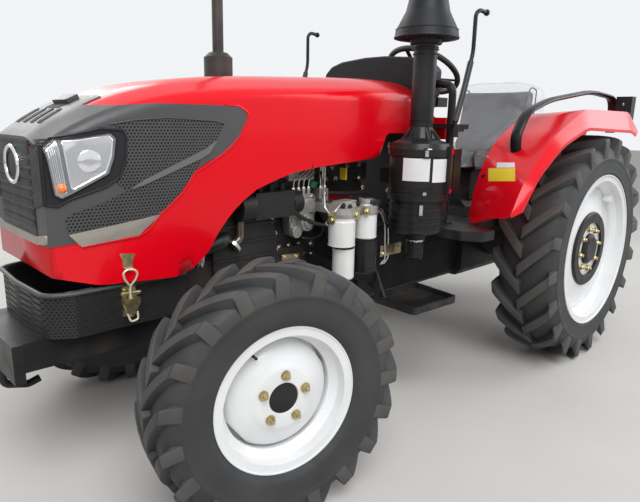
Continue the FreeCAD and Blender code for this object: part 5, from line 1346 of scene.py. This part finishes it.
def add_rails():
    """Flat-oval rails over the fenders and a round grab rail from the floor to the cowl on each side."""
    group = Group("HandRails", "chassis", "black_paint", "fender_rails")
    rail = [(640, 630, 1040), (672, 630, 1130), (600, 630, 1235), (400, 630, 1293), (-60, 630, 1352), (-388, 630, 1334), (-394, 630, 1150)]
    group.add(oval_rail(rail, 25, 11), BLACK, True)
    group.add(pipe([(815, 400, 745), (815, 400, 1345), (815, 300, 1352)], 17, 70, 16, 8), BLACK, True)
    group.add(turned((815, 400, 745), (0, 0, 1), [(0, 0), (36, 0), (36, 5), (0, 5)], 28), BLACK, True)
    for x, y in ((790, 400), (840, 400)):
        group.add(bolt((x, y, 750), (0, 0, 1), 11, 6, False), ZINC, True)
    for x, z in ((-394, 1158), (643, 1052)):
        group.add(rod((x, 640, z), (x, 646, z), 9), ZINC, True)
    group.close()


def oval_rail(points, half_wide, half_thick):
    """A flat bar along points in a plane of constant y; its width runs across that plane."""
    path = bent_path(points, 110, 8)
    part = bmesh.new()
    rings = []
    across = Vector((0, 1, 0))
    for number, point in enumerate(path):
        ahead = (path[min(number + 1, len(path) - 1)] - path[max(number - 1, 0)]).normalized()
        lifted = ahead.cross(across).normalized()
        ring = []
        for step in range(20):
            angle = 2 * math.pi * step / 20
            ring.append(part.verts.new(point + (across * math.cos(angle) * half_wide + lifted * math.sin(angle) * half_thick) / 1000))
        rings.append(ring)
    for first, second in zip(rings, rings[1:]):
        for step in range(20):
            after = (step + 1) % 20
            part.faces.new((first[step], first[after], second[after], second[step]))
    part.faces.new(list(reversed(rings[0])))
    part.faces.new(rings[-1])
    bmesh.ops.recalc_face_normals(part, faces=part.faces)
    return part


def puffed(name, part, cap, pressure, body, node, material):
    """A cushion blown up by a short cloth simulation; no point moves further than the cap, in metres."""
    for face in part.faces:
        face.smooth = True
    data = bpy.data.meshes.new(name)
    part.to_mesh(data)
    part.free()
    made = bpy.data.objects.new(name, data)
    bpy.context.scene.collection.objects.link(made)
    fine = made.modifiers.new("Fine", "REMESH")
    fine.mode = "VOXEL"
    fine.voxel_size = 0.012
    shaped = bpy.data.meshes.new_from_object(made.evaluated_get(bpy.context.evaluated_depsgraph_get()))
    made.modifiers.clear()
    made.data = shaped
    rest = [vert.co.copy() for vert in shaped.vertices]
    cloth = made.modifiers.new("Cloth", "CLOTH")
    cloth.settings.use_pressure = True
    cloth.settings.uniform_pressure_force = pressure
    cloth.settings.effector_weights.gravity = 0
    cloth.point_cache.frame_start = 1
    cloth.point_cache.frame_end = 16
    for number in range(1, 17):
        bpy.context.scene.frame_set(number)
    blown = bpy.data.meshes.new_from_object(made.evaluated_get(bpy.context.evaluated_depsgraph_get()))
    made.modifiers.clear()
    bpy.context.scene.frame_set(1)
    for vert, start in zip(blown.vertices, rest):
        step = vert.co - start
        if step.length > cap:
            vert.co = start + step.normalized() * cap
    made.data = blown
    blown.materials.clear()
    blown.materials.append(material)
    for face in blown.polygons:
        face.use_smooth = True
        face.material_index = 0
    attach(made, body)
    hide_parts(node)
    return made


def add_seat():
    """Vinyl cushion and back with welted edges."""
    cushion = plate([(-140, 944), (296, 944, 30), (322, 1030, 40), (-140, 1002, 30)], "xz", -220, 220, 6, 12)
    puffed("CushionPad", cushion, 0.012, 3.0, "chassis", "seat_cushion", VINYL)
    back = plate([(-180, 968), (-170, 1060), (-238, 1384, 50), (-322, 1376, 40), (-284, 968, 30)], "xz", -220, 220, 6, 12)
    puffed("BackPad", back, 0.012, 3.0, "chassis", "seat_back", VINYL)
    group = Group("CushionWelts", "chassis", "black_paint")
    for side in (-222, 222):
        run = [(-130, side, 1014), (100, side, 1028), (300, side, 1042), (318, side, 1020), (296, side, 952), (-120, side, 948)]
        group.add(pipe(run, 4, 20, 8, 3), GRIP)
        run = [(-166, side, 980), (-164, side, 1062), (-232, side, 1380), (-256, side, 1393), (-318, side, 1382), (-288, side, 980)]
        group.add(pipe(run, 4, 20, 8, 3), GRIP)
    group.close()


def film_point(share, rise):
    """The film over the seat: share goes round it from 0 to 1, rise from its hem to its top."""
    turn = 2 * math.pi * share
    lean = 60 * rise
    narrow = 1.0 if rise < 0.86 else math.sqrt(max(0.0, 1 - ((rise - 0.86) / 0.15) ** 2))
    deep = 132 + 22 * (1 - rise)
    forward = max(0.0, math.cos(turn)) ** 0.35
    reach = 425 * min(1.0, max(0.0, (0.62 - rise) / 0.42)) ** 1.2
    x = -222 - lean + math.copysign(abs(math.cos(turn)) ** 0.5, math.cos(turn)) * deep * narrow + forward * reach
    y = math.copysign(abs(math.sin(turn)) ** 0.45, math.sin(turn)) * (274 - 14 * rise) * (0.25 + 0.75 * narrow)
    z = 962 + 462 * rise
    fold = 7 * math.sin(turn * 9 + 5 * rise) + 5 * math.sin(turn * 17 - 9 * rise) + 4 * math.sin(turn * 5 + 22 * rise)
    out = Vector((math.cos(turn), math.sin(turn), 0)) * fold * (1.1 - 0.5 * rise)
    return spot(x + out.x, y + out.y, z + 3 * math.sin(turn * 11))


def add_seat_film():
    """Clear film pulled over the seat, gathered in folds."""
    part = bmesh.new()
    columns = 150
    rows = 34
    grid = [[part.verts.new(film_point(column / columns, row / (rows - 1))) for column in range(columns)] for row in range(rows)]
    for lower, upper in zip(grid, grid[1:]):
        for column in range(columns):
            after = (column + 1) % columns
            part.faces.new((lower[column], lower[after], upper[after], upper[column]))
    top = part.verts.new(sum((vert.co for vert in grid[-1]), Vector()) / columns)
    for column in range(columns):
        part.faces.new((grid[-1][column], grid[-1][(column + 1) % columns], top))
    for face in part.faces:
        face.smooth = True
    area = sum(face.calc_area() for face in part.faces)
    data = bpy.data.meshes.new("CushionFilm")
    part.to_mesh(data)
    part.free()
    data.materials.append(FILM)
    made = bpy.data.objects.new("CushionFilm", data)
    bpy.context.scene.collection.objects.link(made)
    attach(made, "chassis")


add_console()
add_steering_wheel()
add_rails()
add_seat()
add_seat_film()


# Fenders, lamps and mirror rods

FENDER_RIDGE = [(891, 740, 829), (832, 740, 918), (776, 740, 981), (680, 740, 1054), (597, 740, 1115), (487, 740, 1174),
                (378, 740, 1215), (334, 740, 1237)]


def add_fender_details():
    """Blank labels on the front faces, a pressed ridge along the arch and the bolts of the rail's feet."""
    group = Group("FenderDetails", "chassis", "red_paint")
    tree = tree_of("fenders")
    white = [(567, 1021), (663, 1028), (680, 1010), (581, 1001)]
    yellow = [(531, 994), (684, 1008), (720, 961), (563, 943)]
    for outline, material in ((white, LABEL_WHITE), (yellow, LABEL_YELLOW)):
        group.add(surface_patch(tree, "front", outline, -0.3, 0.5, 10), material, True)
    group.add(pipe(FENDER_RIDGE, 4, 60, 10, 4), RED, True)
    for y, z in ((470, 900), (520, 960)):
        place, normal = landing(tree, "front", y, z)
        at = (place.x * 1000 - REAR_AXLE, place.y * 1000, place.z * 1000)
        group.add(bolt(at, tuple(normal), 12, 6), BLACK, True)
    group.close()


def add_lamp_details():
    """Lenses in three parts on the rear lamps and a bright screw on their front."""
    group = Group("RearLampLenses", "chassis", "lens")
    for low, high, material in ((1228, 1262, AMBER), (1265, 1299, TAIL_RED), (1302, 1333, LENS_WHITE)):
        group.add(block((-413, -406), (662, 728), (low, high), 3), material, True)
    group.add(bolt((-355, 690, 1300), (1, 0, 0), 13, 8), CHROME, True)
    group.add(bolt((-355, 690, 1246), (1, 0, 0), 11, 7), ZINC, True)
    group.close()


def add_mirror_rods():
    """Cranked mirror rods without mirrors; a rubber sleeve covers the lower half."""
    group = Group("MirrorRods", "chassis", "black_paint", "mirror_arms")
    rod_run = [(932, 498, 1130), (928, 498, 1214), (881, 498, 1326), (837, 498, 1469), (838, 498, 1614), (815, 500, 1631), (766, 503, 1627)]
    group.add(pipe(rod_run, 8.5, 26, 12, 6), BLACK, True)
    group.add(pipe([(931, 498, 1190), (881, 498, 1326), (849, 498, 1430)], 12.5, 30, 14, 5), HOSE, True)
    group.add(turned((768, 503, 1627), (-1, 0, 0), [(0, -6), (12, -4), (13, 4), (10, 10), (0, 11)], 24), PLASTIC, True)
    group.add(block((846, 944), (474, 489), (1150, 1180), 2), BLACK, True)
    group.add(turned((932, 498, 1128), (0, 0, 1), [(8, 0), (17, 0), (17, 40), (8, 40)], 24), BLACK, True)
    group.close()


def add_platform_details():
    """Rubber mat strips on the floor and studs on the step's tread."""
    group = Group("FloorDetails", "chassis", "black_paint")
    for y in range(180, 440, 30):
        group.add(block((320, 590), (y, y + 16), (743, 749), 2), HOSE, True)
    for x in (340, 430, 520):
        group.add(bolt((x, 452, 745), (0, 0, 1), 12, 6), ZINC, True)
    group.close()


add_fender_details()
add_lamp_details()
add_mirror_rods()
add_platform_details()


# Hood's shell with the wheel arch cut to its full curve

ARCH = [(1120, 600), (1120, 1030), (1151, 1034), (1302, 1022), (1464, 1014), (1611, 1000), (1706, 973), (1777, 950), (1833, 916),
        (1870, 887), (1900, 858), (1935, 817), (1971, 763), (2011, 727), (2050, 700), (2050, 600)]


def add_hood_shell():
    shell = NODES["hood_shell"]
    made = shell.copy()
    made.data = shell.data.copy()
    made.name = "HoodShell"
    bpy.context.scene.collection.objects.link(made)
    cutter = plate(ARCH, "xz", -420, 420, 0, 0)
    data = bpy.data.meshes.new("ArchCut")
    cutter.to_mesh(data)
    cutter.free()
    tool = bpy.data.objects.new("ArchCut", data)
    bpy.context.scene.collection.objects.link(tool)
    cut = made.modifiers.new("Arch", "BOOLEAN")
    cut.operation = "DIFFERENCE"
    cut.solver = "EXACT"
    cut.object = tool
    shaped = bpy.data.meshes.new_from_object(made.evaluated_get(bpy.context.evaluated_depsgraph_get()))
    made.modifiers.clear()
    made.data = shaped
    bpy.data.objects.remove(tool)
    shaped.materials.clear()
    shaped.materials.append(RED)
    for face in shaped.polygons:
        face.use_smooth = True
        face.material_index = 0
    shaped.set_sharp_from_angle(angle=math.radians(38))
    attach(made, "hood")
    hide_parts("hood_shell")


add_hood_shell()


# CAD nodes that keep their shape

KEPT = {
    "front_axle": CAST, "knuckle_left": CAST, "knuckle_right": CAST, "tie_rod": FRAME_BLACK, "steering_cylinder": BLACK,
    "steering_rod": STEEL, "front_frame": FRAME_BLACK, "engine": CAST, "transmission": CAST, "radiator": BLACK, "fan": PLASTIC,
    "radiator_hose": HOSE, "filter_head": ALUMINIUM, "filters": FILTER_WHITE, "injection_pump": CAST,
    "air_cleaner": BLACK, "pre_cleaner": PLASTIC, "exhaust": EXHAUST, "grilles": GREY_PLASTIC,
    "skirt": SKIRT_MESH, "platform": FRAME_BLACK,
    "steps": FRAME_BLACK, "seat_stand": FRAME_BLACK, "fenders": RED,
    "rear_lamps": PLASTIC, "lift_arms": CAST, "lift_rods": STEEL,
    "lower_links": FRAME_BLACK, "rear_hitch": FRAME_BLACK, "front_hub_left": CAST, "front_hub_right": CAST,
    "rear_hub_left": CAST, "rear_hub_right": CAST,
}
for kept_node, kept_material in KEPT.items():
    coat_node(kept_node, kept_material)
recoat("filters", BLACK, lambda x, y, z: y < 296 or (x < 1365 and z < 729.5))
